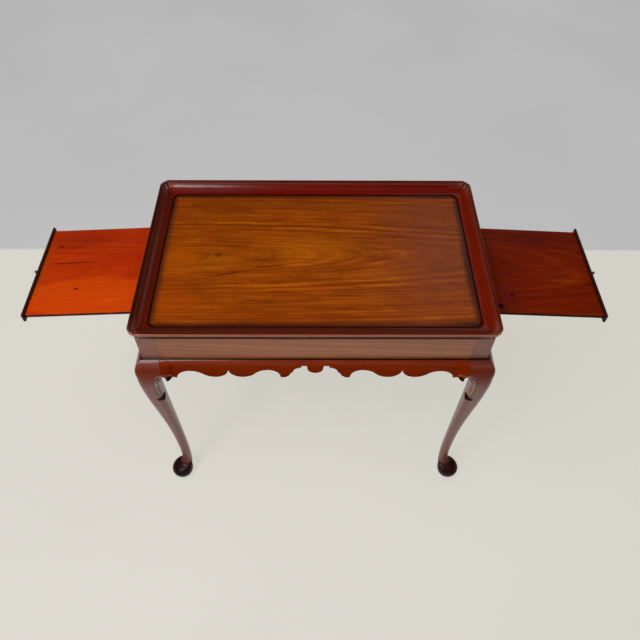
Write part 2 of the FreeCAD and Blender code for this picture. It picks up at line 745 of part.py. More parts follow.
def mirrored(steps, end, end_low, last):
    """Whole lower edge from the left end to the right one, the left half mirroring the right."""
    right = [(s[0], s[1]) for s in steps] + [(end, end_low)]
    left = [(-x, z) for x, z in reversed(right)]
    arcs = [s[2:] for s in steps]
    whole = []
    for k, place in enumerate(left[:-1]):
        whole.append(place + arcs[len(arcs) - 1 - k])
    whole.append(left[-1] + last)
    whole += [place + arc for place, arc in zip(right[:-1], arcs)]
    whole.append(right[-1])
    return whole


def make_skirt(side):
    degrees, half, away = SIDES[side]
    body = body_named(f"{side}_skirt_body")
    steps, end, end_low = skirt_outline(side)
    nearly_half = 1.004
    outline = mirrored(steps, end, end_low, (v.centre_lobe_radius * nearly_half, 1))
    outline += [(end, crease), (-end, crease)]
    inner = v.rail_thickness - away
    board = pad(
        body, "board", sketch_in(body, "face", "XZ_Plane", outline, -inner),
        v.rail_thickness + v.skirt_projection,
    )
    doc.recompute()
    # The ledge is the one edge that lies at the crease and on the skirt's face.
    face = -(away + v.skirt_projection).value
    close = 0.01
    edges = []
    for k, edge in enumerate(board.Shape.Edges, start=1):
        bounds = edge.BoundBox
        off = (bounds.ZMin - crease.value, bounds.ZMax - crease.value, bounds.YMax - face)
        if max(abs(gap) for gap in off) < close:
            edges.append(f"Edge{k}")
    rounding = body.newObject("PartDesign::Fillet", "ledge")
    rounding.Base = (board, edges)
    rounding.setExpression("Radius", v.ledge_round.text)
    place(body, degrees)
    keep(body, f"{side}_skirt")


def make_knee_block(side, way):
    """Block between a skirt's end and a leg, its face growing from the skirt's round to the knee's."""
    degrees, half, away = SIDES[side]
    neighbour = ENDS[side][0 if way < 0 else 1]
    body = body_named(f"{side}_{neighbour}_block_body")
    post = half - v.post_width
    end = post - v.knee_block_length
    back = away - v.rail_thickness
    low = crease - v.volute_drop - v.volute_radius * 2
    sections = []
    for k, (across, swell, tall) in enumerate((
        (end, v.skirt_projection, v.skirt_projection),
        (post, v.knee_reach, v.knee_drop),
    )):
        # Seen from the end: back, crease, rounded top, face. The plane's own X is the table's Y.
        plan = [(-back, low), (-back, crease), (-away, crease)]
        for share, _ in KNEE_STEPS[1:]:
            plan.append((-away - swell * knee_swell(share), crease - tall * share))
        plan.append((-away - swell, low))
        sections.append(sketch_in(body, f"section_{k}", "YZ_Plane", plan, across * way))
    loft(body, "block", "Additive", sections, True)
    # Lower edge: end of the skirt, little rise, volute, then the arch into the leg.
    centre = post - v.volute_middle
    radius = v.volute_radius
    centre_z = crease - v.volute_drop
    arch = crease - v.block_arch_drop
    near = (end - spare) * way
    far = (post + spare) * way
    lowest = low - spare
    # The drop's arc starts and ends 0.8 of its radius to the sides and 0.6 below its centre.
    curl = radius * 0.8
    curl_low = centre_z - radius * 0.6
    edge = [
        (near, crease - v.skirt_end_drop),
        ((centre - radius * 1.6) * way, crease - v.skirt_end_drop + v.volute_neck),
        ((centre - curl) * way, curl_low, radius, way),
        ((centre + curl) * way, curl_low),
        ((centre + radius * 1.1) * way, arch - radius / 2, v.block_arch_round, -way),
        (far, arch),
        (far, lowest),
        (near, lowest),
    ]
    deep = v.knee_reach + v.rail_thickness + spare * 2
    lower = sketch_in(body, "lower_edge", "XZ_Plane", edge, back - spare)
    pocket(body, "lower_cut", lower, deep, True)
    place(body, degrees)
    keep(body, f"{side}_knee_block_{neighbour}")


# ---------------------------------------------------------------- slides

def make_slide(side):
    """Board, front strip, knob, stop cleat and its screws, pulled out against the stop."""
    degrees, half, away = SIDES[side]
    strip_in = away + v.slide_gap + v.slide_travel * cosine(v.slide_fall)
    top_there = slide_level - (strip_in - away) * slope
    # The slide's own frame: where its top meets the front strip, falling outwards.
    sloped = spot((0, -strip_in, top_there), tilt=True)
    bare_board = box(f"{side}_bare_board", v.slide_width, v.slide_length, v.slide_thickness)
    place(bare_board, degrees, sloped, spot((-v.slide_width / 2, -v.strip_groove, -v.slide_thickness)))

    length = v.slide_width + v.front_overlap * 2
    strip = box(f"{side}_strip", length, v.front_thickness, v.front_height)
    strip_out = strip_in + v.front_thickness
    strip_low = top_there + v.front_lip - v.front_height
    place(strip, degrees, spot((-length / 2, -strip_out, strip_low)))

    lying = "placement(vector(0; 0; 0); rotation(vector(1; 0; 0); 90))"
    level = strip_low + v.front_height / 2
    stem = rod(f"{side}_stem", v.knob_stem, v.knob_stand + v.front_thickness + v.knob_pin)
    place(stem, degrees, spot((0, v.knob_pin - strip_in, level)), lying)
    ball = doc.addObject("Part::Sphere", f"{side}_ball")
    ball.setExpression("Radius", v.knob_radius.text)
    place(ball, degrees, spot((0, -strip_out - v.knob_stand, level)))
    knob = joined("Part::MultiFuse", f"{side}_knob_whole", [stem, ball])

    # Under the slide, its outer face just inside the end rail.
    reach = v.rail_thickness + v.stop_gap - v.slide_thickness * sine(v.slide_fall)
    start = (strip_in - away + reach) / cosine(v.slide_fall)
    under = -v.slide_thickness - v.cleat_height
    bar = box(f"{side}_bar", v.cleat_length, v.cleat_width, v.cleat_height)
    place(bar, degrees, sloped, spot((-v.cleat_length / 2, start, under)))

    screws = []
    for way in (-1, 0, 1):
        corner = spot((v.screw_spacing * way, start + v.cleat_width / 2, under))
        shank = rod(f"{side}_shank_{way}", v.screw_radius, v.cleat_height + v.screw_bite)
        place(shank, degrees, sloped, corner)
        head = doc.addObject("Part::Cone", f"{side}_head_{way}")
        for prop, size in (("Radius1", v.screw_head), ("Radius2", v.screw_radius), ("Height", v.screw_sink)):
            head.setExpression(prop, size.text)
        place(head, degrees, sloped, corner)
        screws.append(joined("Part::MultiFuse", f"{side}_screw_{way}", [shank, head]))
    screw_set = joined("Part::Compound", f"{side}_screws", screws)

    bored = joined("Part::Compound", f"{side}_bores", [knob, screw_set])
    keep(cut(f"{side}_board", bare_board, bored), f"{side}_slide_board")
    grooved = cut(f"{side}_grooved_strip", strip, bare_board)
    keep(cut(f"{side}_front", grooved, knob), f"{side}_slide_front")
    keep(knob, f"{side}_slide_knob")
    keep(cut(f"{side}_bored_bar", bar, screw_set), f"{side}_slide_stop")
    keep(screw_set, f"{side}_stop_screws")


def make_guides(side):
    """A guide along each edge of a slide, from the end rail to the cross rail, grooved along the fall."""
    degrees, half, away = SIDES[side]
    rail_inner = away - v.rail_thickness
    cross = v.cross_rail_width / 2
    low = slot_low - v.guide_wall
    high = frame_top - v.guide_gap
    inner = half_slot - v.guide_groove
    sloped = spot((0, -away, slide_level), tilt=True)
    groove = box(f"{side}_groove", half_slot * 2, away, v.slide_thickness + v.slot_clearance * 2)
    place(groove, degrees, sloped, spot((-half_slot, 0, -v.slide_thickness - v.slot_clearance)))
    for way, neighbour in zip((-1, 1), ENDS[side]):
        bar = box(f"{side}_{neighbour}_bar", v.guide_width, rail_inner - cross, high - low)
        start = inner if way > 0 else -inner - v.guide_width
        place(bar, degrees, spot((start, -rail_inner, low)))
        keep(cut(f"{side}_{neighbour}_grooved", bar, groove), f"{side}_slide_guide_{neighbour}")


def make_cross_rail():
    span = frame_depth / 2 - v.rail_thickness
    low = frame_top - v.cross_rail_height
    bar = box("cross_bar", v.cross_rail_width, span * 2, v.cross_rail_height)
    place(bar, 0, spot((-v.cross_rail_width / 2, -span, low)))
    reach = span + v.cross_tenon_length
    tenon = box("cross_tenons", v.cross_tenon_width, reach * 2, v.cross_rail_height - v.tenon_shoulder * 2)
    place(tenon, 0, spot((-v.cross_tenon_width / 2, -reach, low + v.tenon_shoulder)))
    keep(joined("Part::MultiFuse", "cross_rail", [bar, tenon]), "centre_cross_rail")


def make_blocks(side):
    """Glue blocks in the corner under the tray, and behind the joint of rail and skirt."""
    degrees, half, away = SIDES[side]
    face = v.rail_thickness - away
    spots = (-v.block_far, -v.block_near, v.block_near, v.block_far)
    if side in ("left", "right"):
        beside = half_slot - v.guide_groove - v.block_gap - v.glue_block_length / 2
        spots = (-beside, beside)
    for name, low, tall in (
        ("top", frame_top - v.glue_block, v.glue_block),
        ("skirt", crease - v.glue_block, v.glue_block * 2),
    ):
        blocks = []
        for k, middle in enumerate(spots):
            block = box(f"{side}_{name}_block_{k}", v.glue_block_length, v.glue_block, tall)
            block.setExpression("Placement", spot((middle - v.glue_block_length / 2, face, low)))
            blocks.append(block)
        group = joined("Part::Compound", f"{side}_{name}_group", blocks)
        place(group, degrees)
        keep(group, f"{side}_{name}_glue_blocks")


make_field()
make_rims()
make_legs()
make_rails()
make_cross_rail()
for side in SIDES:
    make_skirt(side)
    make_blocks(side)
    for way in (-1, 1):
        make_knee_block(side, way)
for side in ("left", "right"):
    make_guides(side)
    make_slide(side)
doc.recompute()

bad = [o.Label for o in doc.Objects if "Invalid" in o.State or "Error" in o.State]
for node in nodes:
    if node.Shape.isNull() or not node.Shape.isValid():
        bad.append(node.Label)
if bad:
    raise SystemExit(f"failed: {bad}")
os.makedirs("parts", exist_ok=True)
for node in nodes:
    node.Shape.exportStep(f"parts/{node.Label}.step")
    print(node.Label, round(node.Shape.Volume), len(node.Shape.Solids))
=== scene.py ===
import json
import math

import bpy
import numpy as np
from mathutils import Matrix, Vector


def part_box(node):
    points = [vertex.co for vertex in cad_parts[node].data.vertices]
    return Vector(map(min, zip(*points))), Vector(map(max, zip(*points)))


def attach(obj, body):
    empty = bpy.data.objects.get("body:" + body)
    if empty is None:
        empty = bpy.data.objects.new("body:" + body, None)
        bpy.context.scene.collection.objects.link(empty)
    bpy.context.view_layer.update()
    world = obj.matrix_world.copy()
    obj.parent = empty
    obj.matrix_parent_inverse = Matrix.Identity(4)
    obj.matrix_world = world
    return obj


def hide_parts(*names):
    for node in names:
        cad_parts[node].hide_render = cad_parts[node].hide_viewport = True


# Tea table with a tray top: carved legs and skirts, moulded rims, pull-out slides and their finishes.
# Metres, in the frame's own axes: X along the table, Y from front to back, Z up from the floor.

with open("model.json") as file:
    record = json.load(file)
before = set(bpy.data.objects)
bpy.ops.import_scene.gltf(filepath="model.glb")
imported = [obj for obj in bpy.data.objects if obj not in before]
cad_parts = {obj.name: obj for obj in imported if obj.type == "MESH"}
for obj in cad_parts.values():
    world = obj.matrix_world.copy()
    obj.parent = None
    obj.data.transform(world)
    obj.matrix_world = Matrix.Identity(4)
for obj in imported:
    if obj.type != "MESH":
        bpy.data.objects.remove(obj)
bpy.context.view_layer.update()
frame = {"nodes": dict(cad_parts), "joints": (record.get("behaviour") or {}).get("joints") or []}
nodes = frame["nodes"]
mm = 0.001


def millimetres(**sizes):
    return {name: value * mm for name, value in sizes.items()}


def edgeOf(node, axis, far):
    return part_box(node)[1 if far else 0][axis]


# Places that the frame gives: the tray's outline, the frieze's outline and the heights.
table = {
    "trayX": edgeOf("tray_rim_right", 0, True),
    "trayY": edgeOf("tray_rim_back", 1, True),
    "lipTop": edgeOf("tray_rim_front", 2, True),
    "frameTop": edgeOf("front_rail", 2, True),
    "crease": edgeOf("front_rail", 2, False),
    "friezeX": edgeOf("right_lower_rail", 0, True),
    "friezeY": edgeOf("back_rail", 1, True),
}
print("frame loaded", {name: round(value, 4) for name, value in table.items()})


def smoothStep(t):
    t = np.clip(t, 0, 1)
    return t * t * (3 - 2 * t)


def bell(distance, width):
    # 1 at no distance, about a third at the width and almost 0 at twice the width.
    return np.exp(-(distance / width) ** 2)


def curveThrough(knots, at):
    # Cubic pieces through (place, value) knots; a knot's slope is the harmonic mean of its neighbours'
    # slopes, or level at a turn, so the curve never overshoots.
    x, y = np.array(sorted(knots), float).T
    step = np.diff(x)
    rise = np.diff(y) / step
    same = rise[1:] * rise[:-1] > 0
    total = np.where(same, rise[1:] + rise[:-1], 1)
    slope = np.concatenate([[rise[0]], np.where(same, 2 * rise[1:] * rise[:-1] / total, 0), [rise[-1]]])
    at = np.clip(at, x[0], x[-1])
    k = np.clip(np.searchsorted(x, at) - 1, 0, len(step) - 1)
    t = (at - x[k]) / step[k]
    start = (1 + 2 * t) * (1 - t) ** 2 * y[k] + t * (1 - t) ** 2 * step[k] * slope[k]
    return start + t * t * (3 - 2 * t) * y[k + 1] + t * t * (t - 1) * step[k] * slope[k + 1]


def fineLine(points, gap):
    # The same line with a point about every gap, evenly along each stretch.
    points = np.asarray(points, float)
    pieces = []
    for start, end in zip(points, points[1:]):
        count = max(1, int(round(np.linalg.norm(end - start) / gap)))
        share = np.arange(count)[:, None] / count
        pieces.append(start + (end - start) * share)
    return np.concatenate([*pieces, points[-1:]])


def nearest(points, line):
    # Distance of every point to a line of close points, positive on the left of the line's way, and how
    # far along the line that is, 0 to 1.
    gaps = np.linalg.norm(points[..., None, :] - line, axis=-1)
    k = gaps.argmin(-1)
    way, off = np.gradient(line, axis=0)[k], points - line[k]
    left = way[..., 0] * off[..., 1] - way[..., 1] * off[..., 0]
    return gaps.min(-1) * np.sign(left), k / (len(line) - 1)


def skin(points, values=None):
    # Closed skin over points[row, column]: columns close round, and the first and last rows are capped.
    # Faces are turned outwards by the sign of the volume they enclose.
    rows, columns = points.shape[:2]
    row = np.arange(rows - 1)[:, None] * columns
    after = row + columns
    column = np.arange(columns)[None, :]
    beside = (column + 1) % columns
    quads = np.stack([row + column, row + beside, after + beside, after + column], -1).reshape(-1, 4)
    flat = points.reshape(-1, 3)
    a, b, c, d = (flat[quads[:, k]] for k in range(4))
    volume = (np.cross(a, b) * c).sum() + (np.cross(a, c) * d).sum()
    faces = quads.tolist()
    for cap in (np.arange(columns)[::-1], np.arange(columns) + (rows - 1) * columns):
        loop = flat[cap]
        volume += (np.cross(np.roll(loop, 1, 0), loop) * loop.mean(0)).sum()
        faces.append(cap.tolist())
    if volume < 0:
        faces = [face[::-1] for face in faces]
    spread = {name: np.broadcast_to(value, (rows, columns)).ravel() for name, value in (values or {}).items()}
    return {"points": flat, "faces": faces, "values": spread}


def addPiece(name, part, material, body, stands, sharp=35):
    # One mesh from a skin, smooth but for edges sharper than the given angle in degrees.
    mesh = bpy.data.meshes.new(name)
    mesh.from_pydata(part["points"].tolist(), [], part["faces"])
    for value, numbers in part["values"].items():
        mesh.attributes.new(value, "FLOAT", "POINT").data.foreach_set("value", numbers.astype(np.float32))
    mesh.shade_smooth()
    mesh.set_sharp_from_angle(angle=math.radians(sharp))
    mesh.materials.append(material)
    piece = bpy.data.objects.new(name, mesh)
    bpy.context.scene.collection.objects.link(piece)
    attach(piece, body)
    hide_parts(*stands)


def dress(name, material, edge=0.5 * mm):
    # A piece of the frame keeps its shape: its corners are softened by a small bevel, and it is finished.
    piece = nodes[name]
    piece.data.materials.clear()
    piece.data.materials.append(material)
    if edge:
        weld = piece.modifiers.new("weld", "WELD")
        weld.merge_threshold = 0.01 * mm
        bevel = piece.modifiers.new("edges", "BEVEL")
        bevel.width = edge
        bevel.segments = 2
        bevel.limit_method = "ANGLE"
        bevel.angle_limit = math.radians(30)


# Each side is made as if it were the front, and then turned about Z.
sides = {
    "front": (0, table["friezeX"], table["friezeY"]),
    "right": (90, table["friezeY"], table["friezeX"]),
    "back": (180, table["friezeX"], table["friezeY"]),
    "left": (270, table["friezeY"], table["friezeX"]),
}
longSides, shortSides = ("front", "back"), ("left", "right")
neighbours = {
    "front": ("left", "right"),
    "right": ("front", "back"),
    "back": ("right", "left"),
    "left": ("back", "front"),
}


def turned(points, degrees):
    turn = np.array(Matrix.Rotation(math.radians(degrees), 3, "Z"))
    return points @ turn.T


def paint(red, green, blue):
    # Colour written as a screen shows it, 0 to 255, as the linear colour that shaders use.
    shares = [value / 255 for value in (red, green, blue)]
    return tuple(s / 12.92 if s < 0.04045 else ((s + 0.055) / 1.055) ** 2.4 for s in shares) + (1,)


class Wire:
    # An output of a material's nodes. Sums and products of wires add their Math nodes, and node() takes
    # a node's type without the words that all types start with.
    def __init__(self, tree, socket=None):
        self.tree = tree
        self.socket = socket

    def node(self, kind, settings=None, sockets=None, output=0):
        made = self.tree.nodes.new("ShaderNode" + kind)
        for name, value in (settings or {}).items():
            if name == "stops":
                ramp = made.color_ramp
                while len(ramp.elements) < len(value):
                    ramp.elements.new(0.5)
                for element, (position, colour) in zip(ramp.elements, value):
                    element.position = position
                    element.color = colour
            else:
                setattr(made, name, value)
        for name, value in (sockets or {}).items():
            if isinstance(value, Wire):
                self.tree.links.new(value.socket, made.inputs[name])
            else:
                made.inputs[name].default_value = value
        return Wire(self.tree, made.outputs[output] if made.outputs else None)

    def maths(self, operation, *values):
        return self.node("Math", {"operation": operation}, dict(enumerate(values)))

    def __add__(self, other):
        return self.maths("ADD", self, other)

    def __sub__(self, other):
        return self.maths("SUBTRACT", self, other)

    def __rsub__(self, other):
        return self.maths("SUBTRACT", other, self)

    def __mul__(self, other):
        return self.maths("MULTIPLY", self, other)

    def __truediv__(self, other):
        return self.maths("DIVIDE", self, other)

    def __pow__(self, other):
        return self.maths("POWER", self, other)

    def __abs__(self):
        return self.maths("ABSOLUTE", self)

    __radd__ = __add__
    __rmul__ = __mul__

    def split(self):
        made = self.node("SeparateXYZ", {}, {"Vector": self}).socket.node
        return [Wire(self.tree, socket) for socket in made.outputs]

    def ease(self, low, high):
        # 0 below low, 1 above high and smooth between; high may be the lower one.
        ends = {"Value": self, "From Min": low, "From Max": high}
        return self.node("MapRange", {"interpolation_type": "SMOOTHSTEP"}, ends)

    def choose(self, low, high):
        # Colour from low at 0 to high at 1.
        return self.node("Mix", {"data_type": "RGBA"}, {0: self, 6: low, 7: high}, 2)

    def painted(self, name):
        # What a piece's own attribute of that name says, or 0 where it has none.
        return self.node("Attribute", {"attribute_name": name}, output="Fac")

    def stretched(self, scale):
        return self.node("VectorMath", {"operation": "MULTIPLY"}, {0: self, 1: scale})

    def noise(self, scale, detail=2.0, rough=0.5, output=0):
        # Cloudy value from 0 to 1 at this place; scale is cycles a metre along X, Y and Z.
        return self.node("TexNoise", {}, {
            "Vector": self.stretched(scale), "Scale": 1.0, "Detail": detail, "Roughness": rough}, output)


def newMaterial(name):
    material = bpy.data.materials.new(name)
    material.use_nodes = True
    material.node_tree.nodes.clear()
    return material, Wire(material.node_tree)


def finishMaterial(wire, colour, roughness, height, look):
    # Surface from a colour, a roughness and a height in metres, under a coat of polish that is worn off
    # where a piece's own "dull" attribute says so.
    bump = wire.node("Bump", {}, {"Strength": look.get("bump", 0.5), "Distance": 1.0, "Height": height})
    return wire.node("BsdfPrincipled", {}, {
        "Base Color": colour, "Roughness": roughness, "Normal": bump,
        "Specular IOR Level": look.get("shine", 0.4), "Metallic": look.get("metal", 0.0),
        "Coat Weight": (1 - wire.painted("dull")) * look.get("coat", 0.0),
        "Coat Roughness": look.get("coatRough", 0.2),
    })


raggedness = (12 * mm, 3 * mm)  # how far a mark's edge wanders, along and across
anyHeight = 100  # metres that a mark reaches up and down, so that it runs through a board
# Cycles a metre of each layer of the wood: the first six along and across the grain, the others as it lies.
grain = {
    "warp": (1.6, 7, 7), "fibres": (5, 300, 300), "ribbon": (14, 60, 60), "streak": (9, 190, 190),
    "cloud": (2.2, 6, 6), "pores": (48, 620, 620),
    "ragged": (24, 90, 90), "blotch": (30, 30, 30), "smudge": (6, 9, 6),
}
relief = {"fibres": 0.08 * mm, "pores": 0.12 * mm, "cloud": 0.6 * mm}  # depths of the surface's unevenness


def marked(colour, place, x, y, wide, tall, tone, much=0.6, turn=0, core=0.0):
    # A ragged oval of another tone: its middle and half sizes in millimetres, its strength, its turn in
    # degrees and the share of it that isn't faded.
    local = place.node("Mapping", {"vector_type": "TEXTURE"}, {
        "Vector": place, "Location": (x * mm + raggedness[0] / 2, y * mm + raggedness[1] / 2, 0),
        "Rotation": (0, 0, math.radians(turn)), "Scale": (wide * mm, tall * mm, anyHeight)})
    off = place.node("VectorMath", {"operation": "LENGTH"}, {0: local}, "Value")
    return (off.ease(1.0, core) * much).choose(colour, paint(*tone))


def wood(name, look):
    # Growth rings about a pith line along the grain, fine fibres, pores, ribbon, clouds and local marks.
    # Colours in a look are as a screen shows them, 0 to 255; "tones" are the wood's own, dark to light.
    material, wire = newMaterial(name)
    place = wire.node("TexCoord", output="Object")
    turn = tuple(math.radians(angle) for angle in look.get("turn", (0, 0, 0)))
    along = wire.node("Mapping", {}, {"Vector": place, "Rotation": turn})
    warp = along.noise(grain["warp"], 3) - 0.5
    x, y, z = along.split()
    across = y + warp * look["wander"]
    under = z + look["pith"] + x * look["tilt"] + warp * look["wander"]
    radius = (across * across + under * under) ** 0.5
    rings = wire.node("TexNoise", {"noise_dimensions": "1D"}, {
        "W": radius / look["ringGap"], "Scale": 1.0, "Detail": 3.0, "Roughness": 0.62})
    fibres = along.noise(grain["fibres"], 5, 0.62)
    ribbon = along.noise(grain["ribbon"], 3)
    streak = along.noise(grain["streak"], 4, 0.6)
    cloud = along.noise(grain["cloud"], 4)
    tone = 0.5 + (rings - 0.5) * look["figure"] + (fibres - 0.5) * look["fibre"]
    tone = tone + (streak - 0.5) * look.get("streak", 0.3)
    tone = tone + (ribbon - 0.5) * look["ribbon"] + (cloud - 0.5) * look["cloud"]
    stops = list(zip(look.get("tonesAt", (0.1, 0.5, 0.9)), [paint(*shade) for shade in look["tones"]]))
    colour = wire.node("ValToRGB", {"stops": stops}, {"Fac": tone})
    ragged = wire.node("VectorMath", {"operation": "MULTIPLY_ADD"}, {
        0: place.noise(grain["ragged"], 3, output=1), 1: (*raggedness, 0), 2: place})
    for mark in look.get("marks", []):
        colour = marked(colour, ragged, *mark)
    # A darker band along a board's edges: partly a dark stain, partly painted shade under the rims.
    if "stain" in look:
        stain = look["stain"]
        far = [abs(value).ease(stain[axis] - stain["wide"], stain[axis])
               for value, axis in zip(place.split(), "xy")]
        stained = wire.maths("MAXIMUM", *far) * (0.6 + cloud * 0.6)
        colour = stained.choose(colour, paint(*stain["colour"]))
    pores = along.noise(grain["pores"]).ease(0.6, 0.72)
    colour = (pores * look["pores"]).choose(colour, paint(*look["poreColour"]))
    blotch = place.noise(grain["blotch"], 3)
    # Lightening for wear and painted highlights, then darkening for dirt and painted shade, as a piece's
    # attributes say.
    worn = wire.painted("wear") * blotch.ease(*look.get("patchy", (0.3, 0.7))) * look["wear"]
    colour = worn.choose(colour, paint(*look["wearColour"]))
    dirty = (wire.painted("dirt") * (0.6 + blotch * 0.8)).ease(0.0, 1.0)
    colour = dirty.choose(colour, paint(*look["dirtColour"]))
    smudge = place.noise(grain["smudge"], 4, 0.6)
    rough = look["rough"] + (smudge - 0.5) * 0.15 + pores * 0.15
    height = fibres * relief["fibres"] + (1 - pores) * relief["pores"] + cloud * relief["cloud"]
    shader = finishMaterial(wire, colour, rough, height, look)
    wire.node("OutputMaterial", {}, {"Surface": shader})
    return material


boardLook = {
    "pith": -0.605, "tilt": 0.1, "wander": 0.02, "ringGap": 0.007,
    "figure": 0.8, "fibre": 0.8, "streak": 0.5, "ribbon": 0.55, "cloud": 0.35, "pores": 0.75,
    "tones": ((78, 28, 0), (120, 50, 0), (140, 62, 0), (172, 88, 2)), "tonesAt": (0.1, 0.42, 0.6, 0.9),
    "poreColour": (84, 34, 2), "wear": 0.4, "wearColour": (160, 90, 40),
    "dirtColour": (30, 12, 8), "rough": 0.45, "shine": 0.03, "coat": 0.12, "coatRough": 0.3, "bump": 0.3,
    # A band along the board's edges: painted shade where it meets the rims, with a dark stain.
    "stain": {"x": 0.3455, "y": 0.201, "wide": 0.018, "colour": (52, 20, 12)},
    "marks": [
        (-12, 19, 190, 60, (166, 88, 0), 0.45), (-216, -18, 110, 45, (156, 82, 0), 0.4),
        # The greyish marks at the right and back right (x 293, 252): partly the wood's tone, partly a painted
        # reflection.
        (-302, -144, 120, 50, (152, 62, 0), 0.45), (293, -13, 170, 260, (108, 50, 24), 0.62),
        (252, 138, 200, 90, (100, 44, 18), 0.5), (-221, 158, 150, 55, (112, 50, 0), 0.4),
        (-290, 165, 34, 10, (92, 40, 0), 0.6), (-170, 148, 50, 12, (96, 42, 6), 0.6),
        (-220, 1, 13, 10, (92, 34, 0), 0.85, 0, 0.2), (-255, -12, 20, 7, (98, 40, 0), 0.7, 25),
        (-268, 5, 9, 6, (96, 38, 0), 0.7), (-236, 109, 4, 3.5, (80, 24, 8), 0.9),
        (-243, -32, 5, 3, (84, 26, 4), 0.9), (-191, -56, 74, 3.2, (84, 28, 0), 0.95, 13.5, 0.1),
        (-105, -35, 80, 5, (104, 42, 0), 0.55, 12), (-256, -108, 100, 5, (96, 32, 0), 0.6, 1.5),
        (-141, -101, 125, 4, (106, 42, 0), 0.55, 4.6), (-80, -91, 125, 3.5, (180, 98, 2), 0.6, 3),
        (121, -18, 94, 5, (92, 36, 4), 0.6, 12.4), (303, 80, 50, 3, (62, 28, 20), 0.7, -2),
        (41, 68, 130, 8, (118, 54, 0), 0.4, -6), (-60, 103, 150, 7, (112, 50, 0), 0.45, -5),
        (61, -134, 150, 7, (160, 76, 0), 0.45, 3), (-30, -159, 150, 6, (104, 44, 0), 0.4, 2),
        (-240, 165, 190, 60, (106, 42, 0), 0.6), (20, 170, 260, 36, (110, 50, 6), 0.5),
        (-60, -176, 300, 30, (124, 44, 0), 0.5), (-300, -120, 90, 90, (140, 54, 0), 0.4),
        (-120, 60, 190, 26, (142, 66, 0), 0.4, -4), (110, -60, 150, 30, (160, 78, 0), 0.45, 8),
        # The dark bands at the right, front right and back edges (x 300 and more): painted shade under the
        # rims, with stain.
        (341, -50, 17, 170, (42, 24, 22), 0.85), (332, -195, 70, 16, (46, 26, 22), 0.8),
        (-305, -5, 70, 75, (166, 76, 0), 0.55), (343, 140, 11, 90, (58, 28, 18), 0.6),
        (300, 196, 90, 7, (60, 24, 8), 0.7),
    ],
}
rimLook = {
    "pith": -0.60, "tilt": 0.02, "wander": 0.03, "ringGap": 0.006,
    "figure": 0.5, "fibre": 0.5, "ribbon": 0.15, "cloud": 0.5, "pores": 0.4,
    "poreColour": (30, 8, 4), "wear": 0.75, "wearColour": (158, 96, 72), "patchy": (0.05, 0.5),
    "dirtColour": (14, 4, 4), "rough": 0.4, "shine": 0.02, "coat": 0.95, "coatRough": 0.22, "bump": 0.3,
}
# Mean tone of each side's rim, the same wood: painted light and shade, as each side is lit and shows
# its light through the polish differently.
rimTones = {"front": (76, 22, 6), "right": (99, 19, 0), "back": (93, 8, 0), "left": (74, 16, 2)}
rimDark, rimLight = (0.7, 0.55, 0.5), (1.25, 1.5, 1.6)  # the darkest and lightest wood, over that tone
friezeLook = {
    "pith": -0.3, "tilt": 0.05, "wander": 0.06, "ringGap": 0.009,
    "figure": 0.7, "fibre": 0.45, "ribbon": 0.2, "cloud": 0.5, "pores": 0.5,
    "tones": ((106, 50, 20), (137, 75, 36), (162, 97, 52)),
    "poreColour": (80, 32, 14), "wear": 0.5, "wearColour": (160, 84, 54),
    "dirtColour": (24, 6, 4), "rough": 0.4, "shine": 0.2, "coat": 0.75, "coatRough": 0.22, "bump": 0.3,
}
skirtLook = {
    **friezeLook, "figure": 0.4, "shine": 0.0, "coat": 0.6, "coatRough": 0.2,
    "wear": 0.9, "wearColour": (196, 140, 112), "patchy": (0.1, 0.4),
    "tones": ((88, 18, 0), (114, 32, 0), (138, 48, 2)),
}
legLook = {
    **friezeLook, "turn": (0, 90, 0), "wander": 0.03, "pith": 0.2, "figure": 0.35, "shine": 0.1,
    "coat": 0.95, "coatRough": 0.3, "wear": 0.9, "wearColour": (206, 164, 144), "patchy": (0.1, 0.4),
    "tones": ((78, 20, 4), (102, 34, 12), (126, 50, 24)),
}
leftLook = {
    "pith": -0.5, "tilt": 0.12, "wander": 0.04, "ringGap": 0.012,
    "figure": 0.5, "fibre": 0.4, "ribbon": 0.2, "cloud": 0.35, "pores": 0.3,
    "tones": ((128, 24, 0), (160, 41, 0), (192, 70, 0)),
    "poreColour": (120, 28, 2), "wear": 0.3, "wearColour": (200, 90, 30),
    "dirtColour": (40, 10, 6), "rough": 0.45, "shine": 0.04, "coat": 0.1, "coatRough": 0.3, "bump": 0.3,
    "marks": [
        (-500, -84, 190, 60, (192, 64, 0), 0.6, 0, 0.8), (-560, 95, 130, 42, (124, 26, 0), 0.6),
        (-470, 20, 120, 30, (156, 34, 0), 0.5), (-570, 21.5, 74, 2.4, (50, 8, 2), 0.97, 1.6, 0.35),
        (-608, 75, 13, 8, (84, 12, 2), 0.85), (-580, 71, 48, 9, (112, 20, 0), 0.55),
        (-542, -59, 9, 4, (56, 10, 4), 0.97, 3, 0.2), (-640, 0, 24, 150, (126, 62, 14), 0.5),
        (-500, -27, 150, 1.6, (214, 92, 6), 0.5), (-470, -118, 90, 5, (170, 46, 0), 0.5, 6),
        (-455, -96, 60, 4, (206, 84, 6), 0.5, 14),
    ],
}
